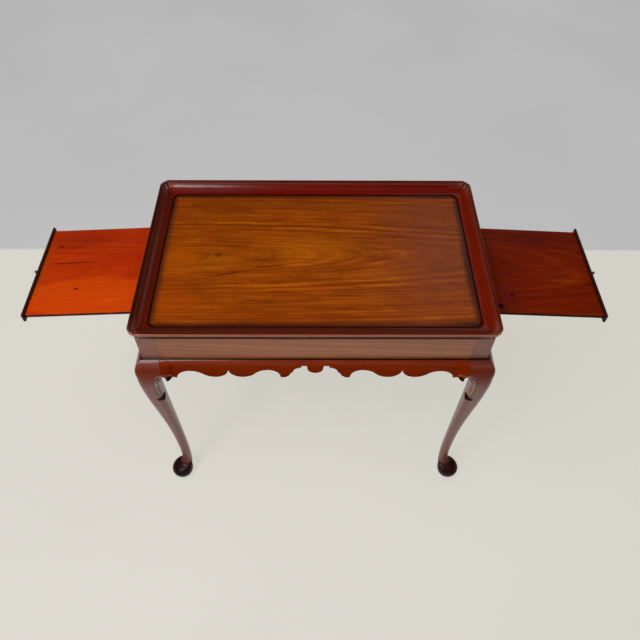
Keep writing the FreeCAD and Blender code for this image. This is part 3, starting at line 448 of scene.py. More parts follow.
rightLook = {
    **leftLook, "figure": 0.6, "fibre": 0.7, "ringGap": 0.007,
    "tones": ((70, 12, 2), (104, 24, 0), (132, 44, 0)),
    "poreColour": (60, 12, 6), "shine": 0.03, "coat": 0.06,
    "marks": [
        (520, 104, 150, 40, (76, 14, 8), 0.7), (575, -31, 66, 8, (132, 50, 0), 0.75),
        # The dark line at x 632, under the lighter band at x 575, is a painted shadow.
        (632, -42, 34, 5, (56, 8, 2), 0.8), (430, -85, 60, 55, (96, 20, 12), 0.6),
        (441, -79, 7, 6, (22, 6, 14), 0.97, 0, 0.2), (409, -113, 12, 11, (20, 8, 16), 0.97, 0, 0.3),
        (440, -103, 6, 4, (34, 6, 12), 0.9), (560, -100, 90, 40, (112, 26, 0), 0.5),
    ],
}
darkLook = {
    **rimLook, "coat": 0.3, "coatRough": 0.3,
    "tones": ((10, 5, 4), (22, 9, 7), (46, 18, 14)),
    "poreColour": (8, 4, 4), "wearColour": (70, 30, 22),
}
innerLook = {
    "pith": -0.5, "tilt": 0.05, "wander": 0.05, "ringGap": 0.008,
    "figure": 0.8, "fibre": 0.8, "ribbon": 0.2, "cloud": 0.5, "pores": 0.5,
    "tones": ((104, 74, 46), (142, 106, 68), (170, 132, 90)),
    "poreColour": (70, 50, 32), "wear": 0.3, "wearColour": (180, 142, 100),
    "dirtColour": (40, 28, 20), "rough": 0.75, "shine": 0.3, "bump": 0.9,
}
boardWood = wood("boardWood", boardLook)
rimWoods, friezeWoods, skirtWoods = {}, {}, {}
for side in sides:
    turn = (0, 0, -sides[side][0])
    tone = np.array(rimTones[side])
    tones = (tone * rimDark, tone, tone * rimLight)
    # Each side's rim is one wood in its own painted light and shade, its grain turned with the side.
    rimWoods[side] = wood(f"{side}RimWood", {**rimLook, "tones": tones, "turn": turn})
    friezeWoods[side] = wood(f"{side}FriezeWood", {**friezeLook, "turn": turn})
    skirtWoods[side] = wood(f"{side}SkirtWood", {**skirtLook, "turn": turn})
legWood = wood("legWood", legLook)
leftWood = wood("leftSlideWood", leftLook)
rightWood = wood("rightSlideWood", rightLook)
darkWood = wood("darkWood", {**darkLook, "turn": (0, 0, 90)})
innerWood = wood("innerWood", innerLook)
crossWood = wood("crossInnerWood", {**innerLook, "turn": (0, 0, 90)})


def metal(name, look):
    # Worn metal: bright and dull in random patches of tarnish, with fine scratches.
    material, wire = newMaterial(name)
    place = wire.node("TexCoord", output="Object")
    tarnish = place.noise((420, 420, 420), 4, 0.6)
    scratch = place.noise((300, 300, 2600), 3, 0.5)
    colour = tarnish.ease(0.35, 0.7).choose(paint(*look["bright"]), paint(*look["dull"]))
    rough = look["rough"] + tarnish * 0.25
    height = scratch * 0.00004 + tarnish * 0.00006
    shader = finishMaterial(wire, colour, rough, height, {"metal": 1.0, "shine": 0.5})
    wire.node("OutputMaterial", {}, {"Surface": shader})
    return material


brass = metal("agedBrass", {"bright": (150, 120, 74), "dull": (62, 44, 28), "rough": 0.25})
steel = metal("dullSteel", {"bright": (120, 112, 104), "dull": (66, 56, 50), "rough": 0.35})
print("materials made")


rim = millimetres(
    width=35.5, rise=19, lip=3.5, cant=18, bead=7.5, lipRound=2, beadRound=0.9, root=9.5, hollow=8,
    clip=12.7, tongue=6.1, tongueLow=1.4, tongueHigh=5.6, fluteApart=4.4, fluteWide=1.625, fluteDeep=4,
    fluteLong=25, bulge=2.6, dim=6.5, slack=0.5, coveStart=0.9, coveDip=0.03, upperFrom=2, upperOver=3,
    beadFace=1.2, coveWorn=1.5, coveWornWide=1.4, lobe=24, lobeDeep=12, polishFrom=80, polishOver=180,
    boardDirt=1.8, footDirt=1.2, lipDirt=3.6, lipDirtWide=1.1, sideDirt=5, sideDirtWide=4,
)
# Strengths of the rims' wear and painted highlights, painted shade, painted dark reflection, darkening
# near the lip and lost polish, and how far a flute cuts in over how deep it is.
rimFinish = {
    "dull": 0.8, "polish": 0.85, "frontBead": 1.0, "bead": 0.2, "cove": 0.3, "lobe": 0.25,
    "board": 0.75, "lip": 0.6, "side": 0.35, "flute": 0.6, "fluteIn": 0.6,
}
clipChange = 2 - math.sqrt(2)  # how much a corner's cut shrinks for each metre of inset


def rimProfile():
    # Closed loop of (inset from the lip's edge, height, corner cut): plain foot, quarter-ellipse hollow,
    # upright bead rounded below and above, lip, quarter-ellipse cove to the board, groove for its tongue.
    top, low = table["lipTop"], table["frameTop"]
    beadLow = top - rim["bead"]
    beadRound, lipRound, hollow = rim["beadRound"], rim["lipRound"], rim["hollow"]
    loop = [(rim["root"], low), (rim["root"], beadLow - hollow)]
    for angle in np.radians(np.linspace(6, 90, 10)):
        inset = beadRound + (rim["root"] - beadRound) * math.cos(angle)
        loop.append((inset, beadLow - hollow * (1 - math.sin(angle))))
    for angle in np.radians((30, 60, 90)):
        loop.append((beadRound * (1 - math.sin(angle)), beadLow + beadRound * (1 - math.cos(angle))))
    for angle in np.radians(np.linspace(0, 90, 7)):
        loop.append((lipRound * (1 - math.cos(angle)), top - lipRound * (1 - math.sin(angle))))
    lipIn = rim["lip"] + lipRound
    reach = rim["width"] - lipIn
    loop.append((lipIn - rim["coveStart"], top - rim["coveDip"]))
    outerPoints = len(loop)
    for angle in np.radians(np.linspace(86, 0, 26)):
        loop.append((rim["width"] - reach * math.sin(angle), top - rim["rise"] * math.cos(angle)))
    inner, tongueIn = rim["width"], rim["width"] - rim["tongue"]
    tongueLow, tongueHigh = low + rim["tongueLow"], low + rim["tongueHigh"]
    loop += [(inner, top - rim["rise"]), (inner, tongueHigh), (tongueIn, tongueHigh),
             (tongueIn, tongueLow), (inner, tongueLow), (inner, low)]
    inset, height = np.array(loop).T
    outerCut = rim["cant"] - inset * clipChange
    lipCut = rim["cant"] - lipIn * clipChange
    coveShare = np.clip((rim["width"] - inset) / reach, 0, 1)
    coveCut = rim["clip"] + (lipCut - rim["clip"]) * coveShare
    cut = np.where(np.arange(len(loop)) < outerPoints, outerCut, coveCut)
    return inset, height, cut


def makeRim(side):
    # The profile is carried along half a cut corner, bulging to the mitre, the straight and the other half
    # corner. Beside each mitre a flute runs in from the lip's edge, a round valley that fades down the cove.
    halves = table["trayX"], table["trayY"]
    halfLong, halfAway = halves if side in longSides else halves[::-1]
    inset, height, cut = rimProfile()
    long, away = halfLong - inset, halfAway - inset
    share = np.linspace(0, 1, 19)[:, None]
    bulge = rim["bulge"] * (1 - share ** 2) * cut / rim["cant"]
    corner = np.stack([-(long - cut / 2) + share * cut / 2 - bulge,
                       -(away - cut / 2) - share * cut / 2 - bulge], -1)
    cornerOff = share * cut / math.sqrt(2)
    share = np.linspace(0, 1, 60)[1:-1, None]
    start = -(long - cut)
    straight = np.stack([start - 2 * start * share, -away + 0 * share], -1)
    straightOff = cut / math.sqrt(2) + np.minimum(share, 1 - share) * 2 * (long - cut)
    plan = np.concatenate([corner, straight, corner[::-1] * (-1, 1)])
    off = np.concatenate([cornerOff, straightOff, cornerOff[::-1]])
    points = np.concatenate([plan, np.broadcast_to(height, off.shape)[..., None]], -1)
    # Flutes: down on the lip and the cove, inwards on the lip's outer edge.
    onBoard = height > table["lipTop"] - rim["rise"] - rim["slack"]
    upper = smoothStep((height - (table["lipTop"] - rim["bead"] - rim["upperFrom"])) / rim["upperOver"])
    flute = bell(off - rim["fluteApart"], rim["fluteWide"])
    fade = smoothStep(1 - (inset - rim["lipRound"]) / rim["fluteLong"])
    valley = flute * fade * (inset >= rim["lipRound"]) * onBoard
    points[..., 2] -= valley * rim["fluteDeep"]
    inward = flute * upper * (inset < rim["lipRound"]) * rim["fluteDeep"] * rimFinish["fluteIn"]
    toMiddle = np.where(plan[..., :1] < 0, 1, -1)
    mitreWay = np.concatenate([toMiddle, np.ones_like(toMiddle)], -1) / math.sqrt(2)
    points[..., :2] += mitreWay * inward[..., None]
    # Painted highlights, partly wear, on the bead, the corners' lobes and the cove's upper edge; a painted
    # dark reflection on the lip between and painted shade low down.
    # The polish is whole on the lobes, and almost whole towards the table's left end of the back rim, where X
    # is positive until the side is turned.
    # Painted highlights, some wear: the bead (on the front a painted reflection), the lobes, the cove's edge.
    bead = (inset < rim["beadFace"]) * (height > table["lipTop"] - rim["bead"])
    coveEdge = inset - rim["lip"] - rim["lipRound"] - rim["coveWorn"]
    lobe = bell(off, rim["lobe"]) * (inset < rim["lobeDeep"])
    wear = bead * rimFinish["frontBead" if side == "front" else "bead"] + lobe * rimFinish["lobe"]
    wear = wear + rimFinish["cove"] * bell(coveEdge, rim["coveWornWide"]) * upper
    # Painted shade: darker low in the cove and at the board's edge, and at the rim's foot under the lip.
    low = smoothStep((inset - rim["width"] + rim["dim"]) / rim["dim"]) * onBoard
    polish = smoothStep((plan[..., 0] - rim["polishFrom"]) / rim["polishOver"]) * (side == "back")
    dull = rimFinish["dull"] * (1 - lobe) * (1 - polish * rimFinish["polish"]) + low
    dirt = rimFinish["board"] * low ** 2 + bell(inset - rim["width"], rim["boardDirt"]) * onBoard
    dirt = dirt + bell(height - table["frameTop"], rim["footDirt"])
    # Painted dark reflection on the lip's flat top, between the bead and the cove.
    dirt = dirt + rimFinish["lip"] * bell(inset - rim["lipDirt"], rim["lipDirtWide"]) * upper
    # On the back and the ends, a darker band near the lip.
    if side != "front":
        dirt = dirt + rimFinish["side"] * bell(inset - rim["sideDirt"], rim["sideDirtWide"])
    # Painted shade in the flutes' valleys.
    values = {"wear": wear, "dirt": dirt + valley * rimFinish["flute"], "dull": dull}
    points = turned(points, sides[side][0])
    part = skin(points, {name: np.clip(value, 0, 1) for name, value in values.items()})
    addPiece(f"{side}_rim", part, rimWoods[side], "frame", [f"tray_rim_{side}"], 32)


for side in sides:
    makeRim(side)
dress("tray_field", boardWood)
print("tray made")


leg = millimetres(
    post=38, kneeReach=23.8, kneeDrop=53, kneeEase=0.6, kneeInset=16.7, turnFrom=40, turnOver=48,
    ankle=105, ankleReach=1.2, ankleWidth=24.5, foot=28.25, footReach=7, footMiddle=27, footTop=45,
    flare=17.4, base=12.5, shoe=3, scoopRound=11, scoopDeep=5.5, scoopDrop=142, scoopReach=10.5,
    scoopSoft=0.8, postRow=3, chamfer=0.4, underGap=1, creaseDirt=1.2, ledgeLow=500,
    footDirtTop=62, footDirtOver=22, kneeDullTop=11, kneeDullSoft=12, kneeDullLow=478, kneeDullOver=50,
)
# Strengths of the legs' wear, painted highlight on the bead, painted shade in the crease, darkening on the
# foot and lost polish, and the rows and columns of their skin.
legFinish = {"bead": 0.55, "post": 0.14, "foot": 0.95, "crease": 0.9, "dullKnee": 0.8, "dullFoot": 0.9}
legRows = {"foot": 84, "shin": 76, "calf": 96, "knee": 84, "around": 208}
calfFrom = 0.76  # share of the S from ankle to knee above which its rows are closer
crowding = 0.22  # how much the columns crowd at the carved corner
legCorners = {"sharp": 0.02, "knee": 0.3, "ankle": 0.48, "foot": 0.49}  # radius over the leg's width
# A scroll is cut into each outer face, as (millimetres in from the post's corner, height), first along
# the arch under the frieze and then down the knee; inside it the corner is cut back from this line.
scroll = {
    "line": ((51, 526), (44, 530.5), (36, 532), (28, 529), (20.5, 522), (16, 512), (13.4, 498), (12, 478),
             (12.6, 458), (15.6, 434)),
    "cutFrom": ((20.7, 424), (18.6, 433), (16.4, 444), (15.6, 458), (15.4, 478), (17, 498), (20, 512),
                (24.5, 522), (31, 529.5), (38, 533)),
    "turn": 0.30, "groove": 1.2 * mm, "deep": 0.9 * mm, "bead": 1 * mm, "rise": 0.8 * mm,
    "beadIn": 2.4 * mm, "beadOut": 3.2 * mm,
    "drop": (48.2, 516.3), "dropRound": 5.2 * mm, "dropRise": 1.5 * mm,
    "fadeOver": 0.22, "turnOver": 0.08, "ringAt": 1.12, "ringWide": 0.14, "dropDirt": 0.8,
}
scrollLine = fineLine(np.array(scroll["line"]) * mm, 0.8 * mm)
ledgeShade = (4.8 * mm, 1.2 * mm)  # how far painted shade and dark reflection under the frieze reach out, and how softly they end


def underFrieze(reach):
    # Painted shade and dark reflection on a ledge close under the frieze, from how far out the ledge
    # stands there.
    return smoothStep((ledgeShade[0] - reach) / ledgeShade[1])


def carve(u, height):
    # Groove along the scroll's line, a raised bead outside it along the arch and inside it down the
    # knee, and a domed drop at its upper end. Gives how far the face moves out, the bead's wear with a
    # painted highlight, and painted shade in the groove and the drop's ring, the drop itself darker.
    gap, share = nearest(np.stack([u, height], -1), scrollLine)
    fade = smoothStep((1 - share) / scroll["fadeOver"])
    arch = smoothStep((scroll["turn"] - share) / scroll["turnOver"])
    groove = bell(gap, scroll["groove"]) * fade
    bead = bell(gap + scroll["beadOut"], scroll["bead"]) * arch
    bead = bead + bell(gap - scroll["beadIn"], scroll["bead"]) * (1 - arch)
    bead = bead * fade
    middleU, middleZ = (place * mm for place in scroll["drop"])
    off = np.hypot(u - middleU, height - middleZ) / scroll["dropRound"]
    dome = np.sqrt(np.maximum(1 - off ** 2, 0))
    ring = bell(off - scroll["ringAt"], scroll["ringWide"])
    out = scroll["rise"] * bead - scroll["deep"] * (groove + ring) + scroll["dropRise"] * dome
    return out, bead, np.clip(groove + ring + (dome > 0) * scroll["dropDirt"], 0, 1)


# Shares of the ankle's height over the pad, each with its share of the flare, and of the pad's upper half.
ankleFlare = ((1, 0), (0.66, 0.02), (0.5, 0.06), (0.33, 0.13), (0.2, 0.22), (0.1, 0.33), (0.03, 0.5))
padSteps = (0.96, 0.86, 0.73, 0.6, 0.45, 0.3, 0.15, 0)


def padShape(heights):
    # Foot and ankle: reach beyond the post and inner face. The pad is an ellipse above its middle and a
    # quarter ellipse down to the shoe, and the ankle flares out over its top.
    ankleFace = leg["ankleWidth"] - leg["ankleReach"]
    padFace = leg["foot"] - leg["footReach"]
    outer, inner = [], []
    for share, flare in ankleFlare:
        height = leg["footTop"] + (leg["ankle"] - leg["footTop"]) * share
        outer.append((height, leg["ankleReach"] + leg["flare"] * flare))
        inner.append((height, ankleFace + (padFace - ankleFace) * (1 - share)))
    for share in padSteps:
        height = leg["footMiddle"] + (leg["footTop"] - leg["footMiddle"]) * share
        outer.append((height, leg["footReach"] + leg["foot"] * math.sqrt(1 - 0.8 * share * share)))
        inner.append((height, padFace))
    least = leg["base"] + leg["shoe"] / 2
    for angle in np.radians((18, 36, 54, 72, 90)):
        radius = least + (leg["foot"] - least) * math.cos(angle)
        height = leg["footMiddle"] - (leg["footMiddle"] - leg["shoe"]) * math.sin(angle)
        outer.append((height, leg["footReach"] + radius))
        inner.append((height, radius - leg["footReach"]))
    return curveThrough(outer, heights), curveThrough(inner, heights)


def legShape():
    # A row at each height: reach beyond the post, inner face from the post's corner, and the corners'
    # radii over the width. The knee is a quarter ellipse under the post, then an S runs to the ankle.
    corner = legCorners
    full = leg["post"] - leg["kneeEase"]
    ankleFace = leg["ankleWidth"] - leg["ankleReach"]
    kneeHeight = table["crease"] - leg["kneeDrop"]
    low = leg["shoe"] + (leg["ankle"] - leg["shoe"]) * np.linspace(0, 1, legRows["foot"])[:-1] ** 1.3
    share = np.concatenate([
        np.linspace(0, calfFrom, legRows["shin"])[:-1], np.linspace(calfFrom, 1, legRows["calf"])[:-1]])
    middle = leg["ankle"] + (kneeHeight - leg["ankle"]) * share
    angle = np.radians(np.linspace(90, 0, legRows["knee"]))
    down = 1 - np.cos(angle)
    high = table["crease"] - leg["kneeDrop"] * down
    turn = [smoothStep((table["crease"] - z - leg["turnFrom"]) / leg["turnOver"]) for z in (middle, high)]
    padReach, padFace = padShape(low)
    footRound = corner["ankle"] + (corner["foot"] - corner["ankle"]) * smoothStep(2 - low / leg["footTop"])
    kneeFace = full - leg["kneeInset"] * turn[0]
    outer = corner["knee"] + (corner["ankle"] - corner["knee"]) * (1 - share)
    rise = corner["knee"] - corner["sharp"]
    rows = [
        (low, padReach, padFace, footRound, footRound),
        (middle, leg["ankleReach"] + (leg["kneeReach"] - leg["ankleReach"]) * smoothStep(share ** 1.27),
         ankleFace + (kneeFace - ankleFace) * smoothStep(share), outer,
         corner["sharp"] + (outer - corner["sharp"]) * turn[0]),
        (high, leg["kneeReach"] * np.sin(angle), full - leg["kneeInset"] * turn[1],
         corner["sharp"] + rise * down, corner["sharp"] + rise * turn[1]),
    ]
    bottom, top, chamfer = table["crease"], table["frameTop"], leg["chamfer"]
    post = np.array([bottom, bottom + leg["postRow"], (bottom + top) / 2, top - chamfer, top])
    cutIn = np.array([0, 0, 0, 0, chamfer])
    rows.append((post, -cutIn, leg["post"] - cutIn, 0 * post + corner["sharp"], 0 * post + corner["sharp"]))
    return np.concatenate([np.stack(row, 1) for row in rows]).T


def carvedLeg():
    # Rings of a rounded square, each point found along its own direction from the ring's middle: on the
    # straight side, or where the ray meets the corner's circle. Directions crowd at the carved corner.
    # Gives the points, measured from the post's corner, with their wear, dirt and lost polish.
    height, reach, face, outer, inner = (value[:, None] for value in legShape())
    crease, columns = table["crease"], legRows["around"]
    even = np.arange(columns) * 2 * math.pi / columns
    angle = even - crowding * np.sin(2 * (even - math.radians(135)))
    cos, sin = np.cos(angle)[None, :], np.sin(angle)[None, :]
    big, small = np.maximum(abs(cos), abs(sin)), np.minimum(abs(cos), abs(sin))
    half = (reach + face) / 2
    radius = np.where((cos < 0) & (sin < 0), outer, inner) * 2 * half
    core = half - radius
    flat = half / big
    inside = np.maximum(radius ** 2 - core ** 2 * (big - small) ** 2, 0)
    ray = np.where(flat * small <= core, flat, core * (big + small) + np.sqrt(inside))
    x = (face - reach) / 2 + ray * cos
    y = (face - reach) / 2 + ray * sin
    z = np.broadcast_to(height, x.shape).copy()
    under = z < crease - leg["underGap"]
    # Inside the scroll the corner is cut back at 45 degrees.
    cutFrom = [(up * mm, across * mm) for across, up in scroll["cutFrom"]]
    within = (height > cutFrom[0][0]) & (height < cutFrom[-1][0])
    cutBack = np.maximum(abs(x - y) - curveThrough(cutFrom, height) - reach, 0) / 2 * within
    wayX = np.sign(x - y)
    x = x - cutBack * wayX
    y = y + cutBack * wayX
    # Each outer face is carved, and each inner face has a round hollow, part of a ball, darkened by painted
    # shade and dark reflection with some old dirt.
    wear, dirt, hollow = np.zeros_like(x), np.zeros_like(x), np.zeros_like(x)
    ball = (leg["scoopRound"] ** 2 + leg["scoopDeep"] ** 2) / (2 * leg["scoopDeep"])
    for first in (True, False):
        facing = smoothStep((-(sin if first else cos) - 0.55) / 0.15) * under
        out, bead, groove = carve(x if first else y, z)
        away = np.hypot((y if first else x) + leg["scoopReach"], z - crease + leg["scoopDrop"])
        dent = np.sqrt(np.maximum(ball ** 2 - away ** 2, 0)) - (ball - leg["scoopDeep"])
        dent = np.maximum(dent, 0) * ((cos if first else sin) > 0.3)
        if first:
            x, y = x - dent, y - out * facing
        else:
            x, y = x - out * facing, y - dent
        dented = smoothStep(dent / leg["scoopSoft"])
        # Painted highlight, with some wear, along the carved bead.
        wear = wear + bead * facing * legFinish["bead"]
        dirt = dirt + groove * facing + dented
        hollow = hollow + dented
    # Painted shade and dark reflection on the ledge under the frieze, where the knee starts level, painted
    # shade in the crease, and darker on the foot.
    ledge = underFrieze(reach) * (height <= crease) * (height > leg["ledgeLow"])
    foot = smoothStep((leg["footDirtTop"] - z) / leg["footDirtOver"])
    knee = smoothStep((crease - leg["kneeDullTop"] - z) / leg["kneeDullSoft"])
    knee = knee * smoothStep((z - leg["kneeDullLow"]) / leg["kneeDullOver"])
    wear = wear + legFinish["post"] * (height > crease)
    dirt = dirt + ledge + foot * legFinish["foot"] + bell(z - crease, leg["creaseDirt"]) * legFinish["crease"]
    dull = np.maximum(knee * legFinish["dullKnee"], foot * legFinish["dullFoot"]) + hollow
    disc = [np.broadcast_to(-leg["footReach"] + leg["base"] * part, (2, columns)) for part in (cos, sin)]
    disc.append(np.broadcast_to([[0.0], [leg["shoe"]]], (2, columns)))
    points = np.concatenate([np.stack(disc, -1), np.stack([x, y, z], -1)])
    values = {"wear": wear, "dirt": dirt, "dull": dull}
    return points, {name: np.clip(np.concatenate([value[:1], value[:1], value]), 0, 1)
                    for name, value in values.items()}


def makeLegs():
    # One carved leg, measured from its post's corner, is mirrored to the four corners.
    local, marks = carvedLeg()
    for endName, wayX in (("left", -1), ("right", 1)):
        for depthName, wayY in (("front", -1), ("back", 1)):
            name = f"leg_{depthName}_{endName}"
            points = local.copy()
            points[..., 0] = wayX * (table["friezeX"] - local[..., 0])
            points[..., 1] = wayY * (table["friezeY"] - local[..., 1])
            addPiece(f"{name}_carved", skin(points, marks), legWood, "frame", [name], 40)


makeLegs()
print("legs made")

skirt = millimetres(
    thick=22, forward=9.9, ledge=9.7, lobe=17.2, flare=1.4, lobeDrop=43.4, notchDrop=15.8, notchEnd=30.3,
    shoulderDrop=22.4, shoulderEnd=49.4, shoulderRound=20, stepDrop=42.2, step=3.9, pendantDrop=61.6,
    pendantStart=67.8, pendantFlat=5, pendantRound=4.4, pendantHollow=24.7, archDrop=31.9, firstArch=103,
    swingDrop=59.8, firstSwing=160.5, cuspDrop=31, cusp=190, lastArch=274, lastArchDrop=35.7, endDrop=63.7,
    edge=0.9, blockLength=26.4, volute=5, voluteDrop=55.7, voluteIn=10.2, neck=8.2, blockArch=41.5,
    blockArchRound=8, blockEdge=0.8, blockGap=1.5, fine=1.2, finer=0.8,
)
# Columns of a skirt's or a knee block's section, counted from its back, strengths of wear and painted
# highlights, painted shade and lost polish, and how much a skirt's columns fan.
skirtFinish = {
    "wornColumns": slice(12, 18), "worn": 0.03, "lowColumns": slice(-5, None), "low": 0.45, "blockLow": 0.4,
    "dullFrom": 10, "dullOver": 6, "dull": 0.97, "faceColumns": slice(6, -4), "bead": 0.55, "fan": 0.2,
}


def arcPoints(start, end, radius, way, count=14):
    # Arc from start to end, its middle on the left (way 1) or the right (way -1).
    start, end = np.array(start, float), np.array(end, float)
    chord = end - start
    length = np.linalg.norm(chord)
    rise = math.sqrt(max(radius ** 2 - length ** 2 / 4, 0))
    side = np.array([-chord[1], chord[0]]) / length * way
    centre = (start + end) / 2 + side * rise
    first = math.atan2(*(start - centre)[::-1])
    last = math.atan2(*(end - centre)[::-1])
    swing = (last - first + math.pi) % (2 * math.pi) - math.pi
    angles = first + swing * np.arange(count) / count
    return centre + radius * np.stack([np.cos(angles), np.sin(angles)], -1)


def levelArc(start, end, way, count=22):
    # Arc that runs level at its upper or its lower end.
    across, up = abs(end[0] - start[0]), abs(end[1] - start[1])
    return arcPoints(start, end, (across ** 2 + up ** 2) / (2 * up), way, count)


def skirtEdge(side):
    # Right half of the scalloped edge as close points: across, and height from the crease.
    s = skirt
    end = sides[side][1] - leg["post"] - s["blockLength"]
    flatEnd = s["pendantStart"] + s["pendantFlat"]
    pendantEnd = (flatEnd + s["pendantRound"], s["pendantRound"] - s["pendantDrop"])
    pieces = []
    angles = np.radians(np.linspace(-90, 0, 24)[:-1])
    centre = s["lobe"] - s["lobeDrop"]
    pieces.append(np.stack([np.cos(angles) * s["lobe"], centre + np.sin(angles) * s["lobe"]], -1))
    corners = [(s["lobe"], centre), (s["lobe"] + s["flare"], -s["notchDrop"]),
               (s["notchEnd"], -s["notchDrop"]), (s["notchEnd"], -s["shoulderDrop"])]
    pieces.append(fineLine(corners, s["fine"])[:-1])
    shoulder = (s["shoulderEnd"], -s["stepDrop"])
    pieces.append(arcPoints(corners[-1], shoulder, s["shoulderRound"], -1, 18))
    step = (s["shoulderEnd"] + s["step"], -s["stepDrop"])
    pieces.append(fineLine([shoulder, step], s["fine"])[:-1])
    pendant = (s["pendantStart"], -s["pendantDrop"])
    pieces.append(arcPoints(step, pendant, s["pendantHollow"], 1, 14))
    pieces.append(fineLine([pendant, (flatEnd, -s["pendantDrop"])], s["fine"])[:-1])
    pieces.append(arcPoints((flatEnd, -s["pendantDrop"]), pendantEnd, s["pendantRound"], 1, 8))
    last = (end, -s["endDrop"])
    if side in longSides:
        second = 2 * s["cusp"] - s["firstSwing"]
        turns = [((a + b) / 2, -(c + s["swingDrop"]) / 2) for a, b, c in (
            (s["firstArch"], s["firstSwing"], s["archDrop"]), (second, s["lastArch"], s["lastArchDrop"]))]
        stops = [(pendantEnd, -1), ((s["firstArch"], -s["archDrop"]), -1), (turns[0], 1),
                 ((s["firstSwing"], -s["swingDrop"]), 1), ((s["cusp"], -s["cuspDrop"]), 1),
                 ((second, -s["swingDrop"]), 1), (turns[1], -1), ((s["lastArch"], -s["lastArchDrop"]), -1),
                 (last, 0)]
    else:
        stops = [(pendantEnd, -1), (((pendantEnd[0] + end) / 2, -s["archDrop"]), -1), (last, 0)]
    for (start, way), (stop, _) in zip(stops, stops[1:]):
        pieces.append(levelArc(start, stop, way))
    pieces.append(np.array([last]))
    return np.concatenate(pieces)


def makeSkirt(side):
    # At each point of the lower edge a section is drawn: back, top, quarter-round ledge, face, a small
    # rounding at the lower edge and the underside. Columns fan a little so that steep stretches stay open.
    degrees, _, away = sides[side]
    right = skirtEdge(side)
    edge = np.concatenate([right[::-1] * (-1, 1), right[1:]])
    length = np.concatenate([[0], np.cumsum(np.linalg.norm(np.diff(edge, axis=0), axis=1))])
    fan = skirtFinish["fan"]
    top = (1 - fan) * edge[:, 0] + fan * (2 * length / length[-1] - 1) * edge[-1, 0]
    tangent = np.gradient(edge, axis=0)
    tangent /= np.linalg.norm(tangent, axis=1, keepdims=True)
    inwards = np.stack([-tangent[:, 1], tangent[:, 0]], -1)
    front, back = away + skirt["forward"], away - skirt["thick"]
    ledge, rounding = skirt["ledge"], skirt["edge"]
    section = [(top, 0 * top, -back), (top, 0 * top, -(front - ledge))]
    for angle in np.radians(np.linspace(0, 90, 16)[1:]):
        drop = -ledge * (1 - math.cos(angle))
        section.append((top, 0 * top + drop, -(front - ledge * (1 - math.sin(angle)))))
    ledgeLow = section[-1]
    inset = edge + inwards * rounding
    for share in np.linspace(0, 1, 8)[1:]:
        x = ledgeLow[0] + (inset[:, 0] - ledgeLow[0]) * share
        z = ledgeLow[1] + (inset[:, 1] - ledgeLow[1]) * share
        section.append((x, z, -front + 0 * x))
    for angle in np.radians((30, 60, 90)):
        place = edge + inwards * rounding * (1 - math.sin(angle))
        section.append((place[:, 0], place[:, 1], -front + rounding * (1 - math.cos(angle))))
    section.append((edge[:, 0], edge[:, 1], -back))
    x, z, y = (np.stack([np.broadcast_to(s[k], top.shape) for s in section], 1) for k in range(3))
    wear = np.zeros_like(x)
    # The ledge's lower half is faintly lightened: wear and a painted highlight.
    wear[:, skirtFinish["wornColumns"]] = skirtFinish["worn"]
    # Painted shade and dark reflection on the ledge under the frieze; painted shade on the lower edge and
    # underside.
    dirt = underFrieze(-y - away) * (z > -ledge)
    dirt[:, skirtFinish["lowColumns"]] = skirtFinish["low"]
    dull = np.clip((np.arange(len(section)) - skirtFinish["dullFrom"]) / skirtFinish["dullOver"], 0, 1)
    values = {"wear": wear, "dirt": dirt, "dull": dull * skirtFinish["dull"]}
    part = skin(turned(np.stack([x, y, z + table["crease"]], -1), degrees), values)
    addPiece(f"{side}_skirt_carved", part, skirtWoods[side], "frame", [f"{side}_skirt"], 40)


def blockEdge():
    # Lower edge of a knee block: (from the skirt's end, height from the crease).
    s = skirt
    centre = s["blockLength"] - s["voluteIn"]
    curl = s["volute"] * 0.8
    curlLow = -s["voluteDrop"] - s["volute"] * 0.6
    neck = (centre - s["volute"] * 1.6, s["neck"] - s["endDrop"])
    into = (centre + s["volute"] * 1.1, -s["blockArch"] - s["volute"] / 2)
    far = (s["blockLength"], -s["blockArch"])
    pieces = [
        fineLine([(0, -s["endDrop"]), neck, (centre - curl, curlLow)], s["finer"])[:-1],
        arcPoints((centre - curl, curlLow), (centre + curl, curlLow), s["volute"], 1, 12),
        fineLine([(centre + curl, curlLow), into], s["finer"])[:-1],
        arcPoints(into, far, s["blockArchRound"], -1, 12),
        np.array([far]),
    ]
    return np.concatenate(pieces)


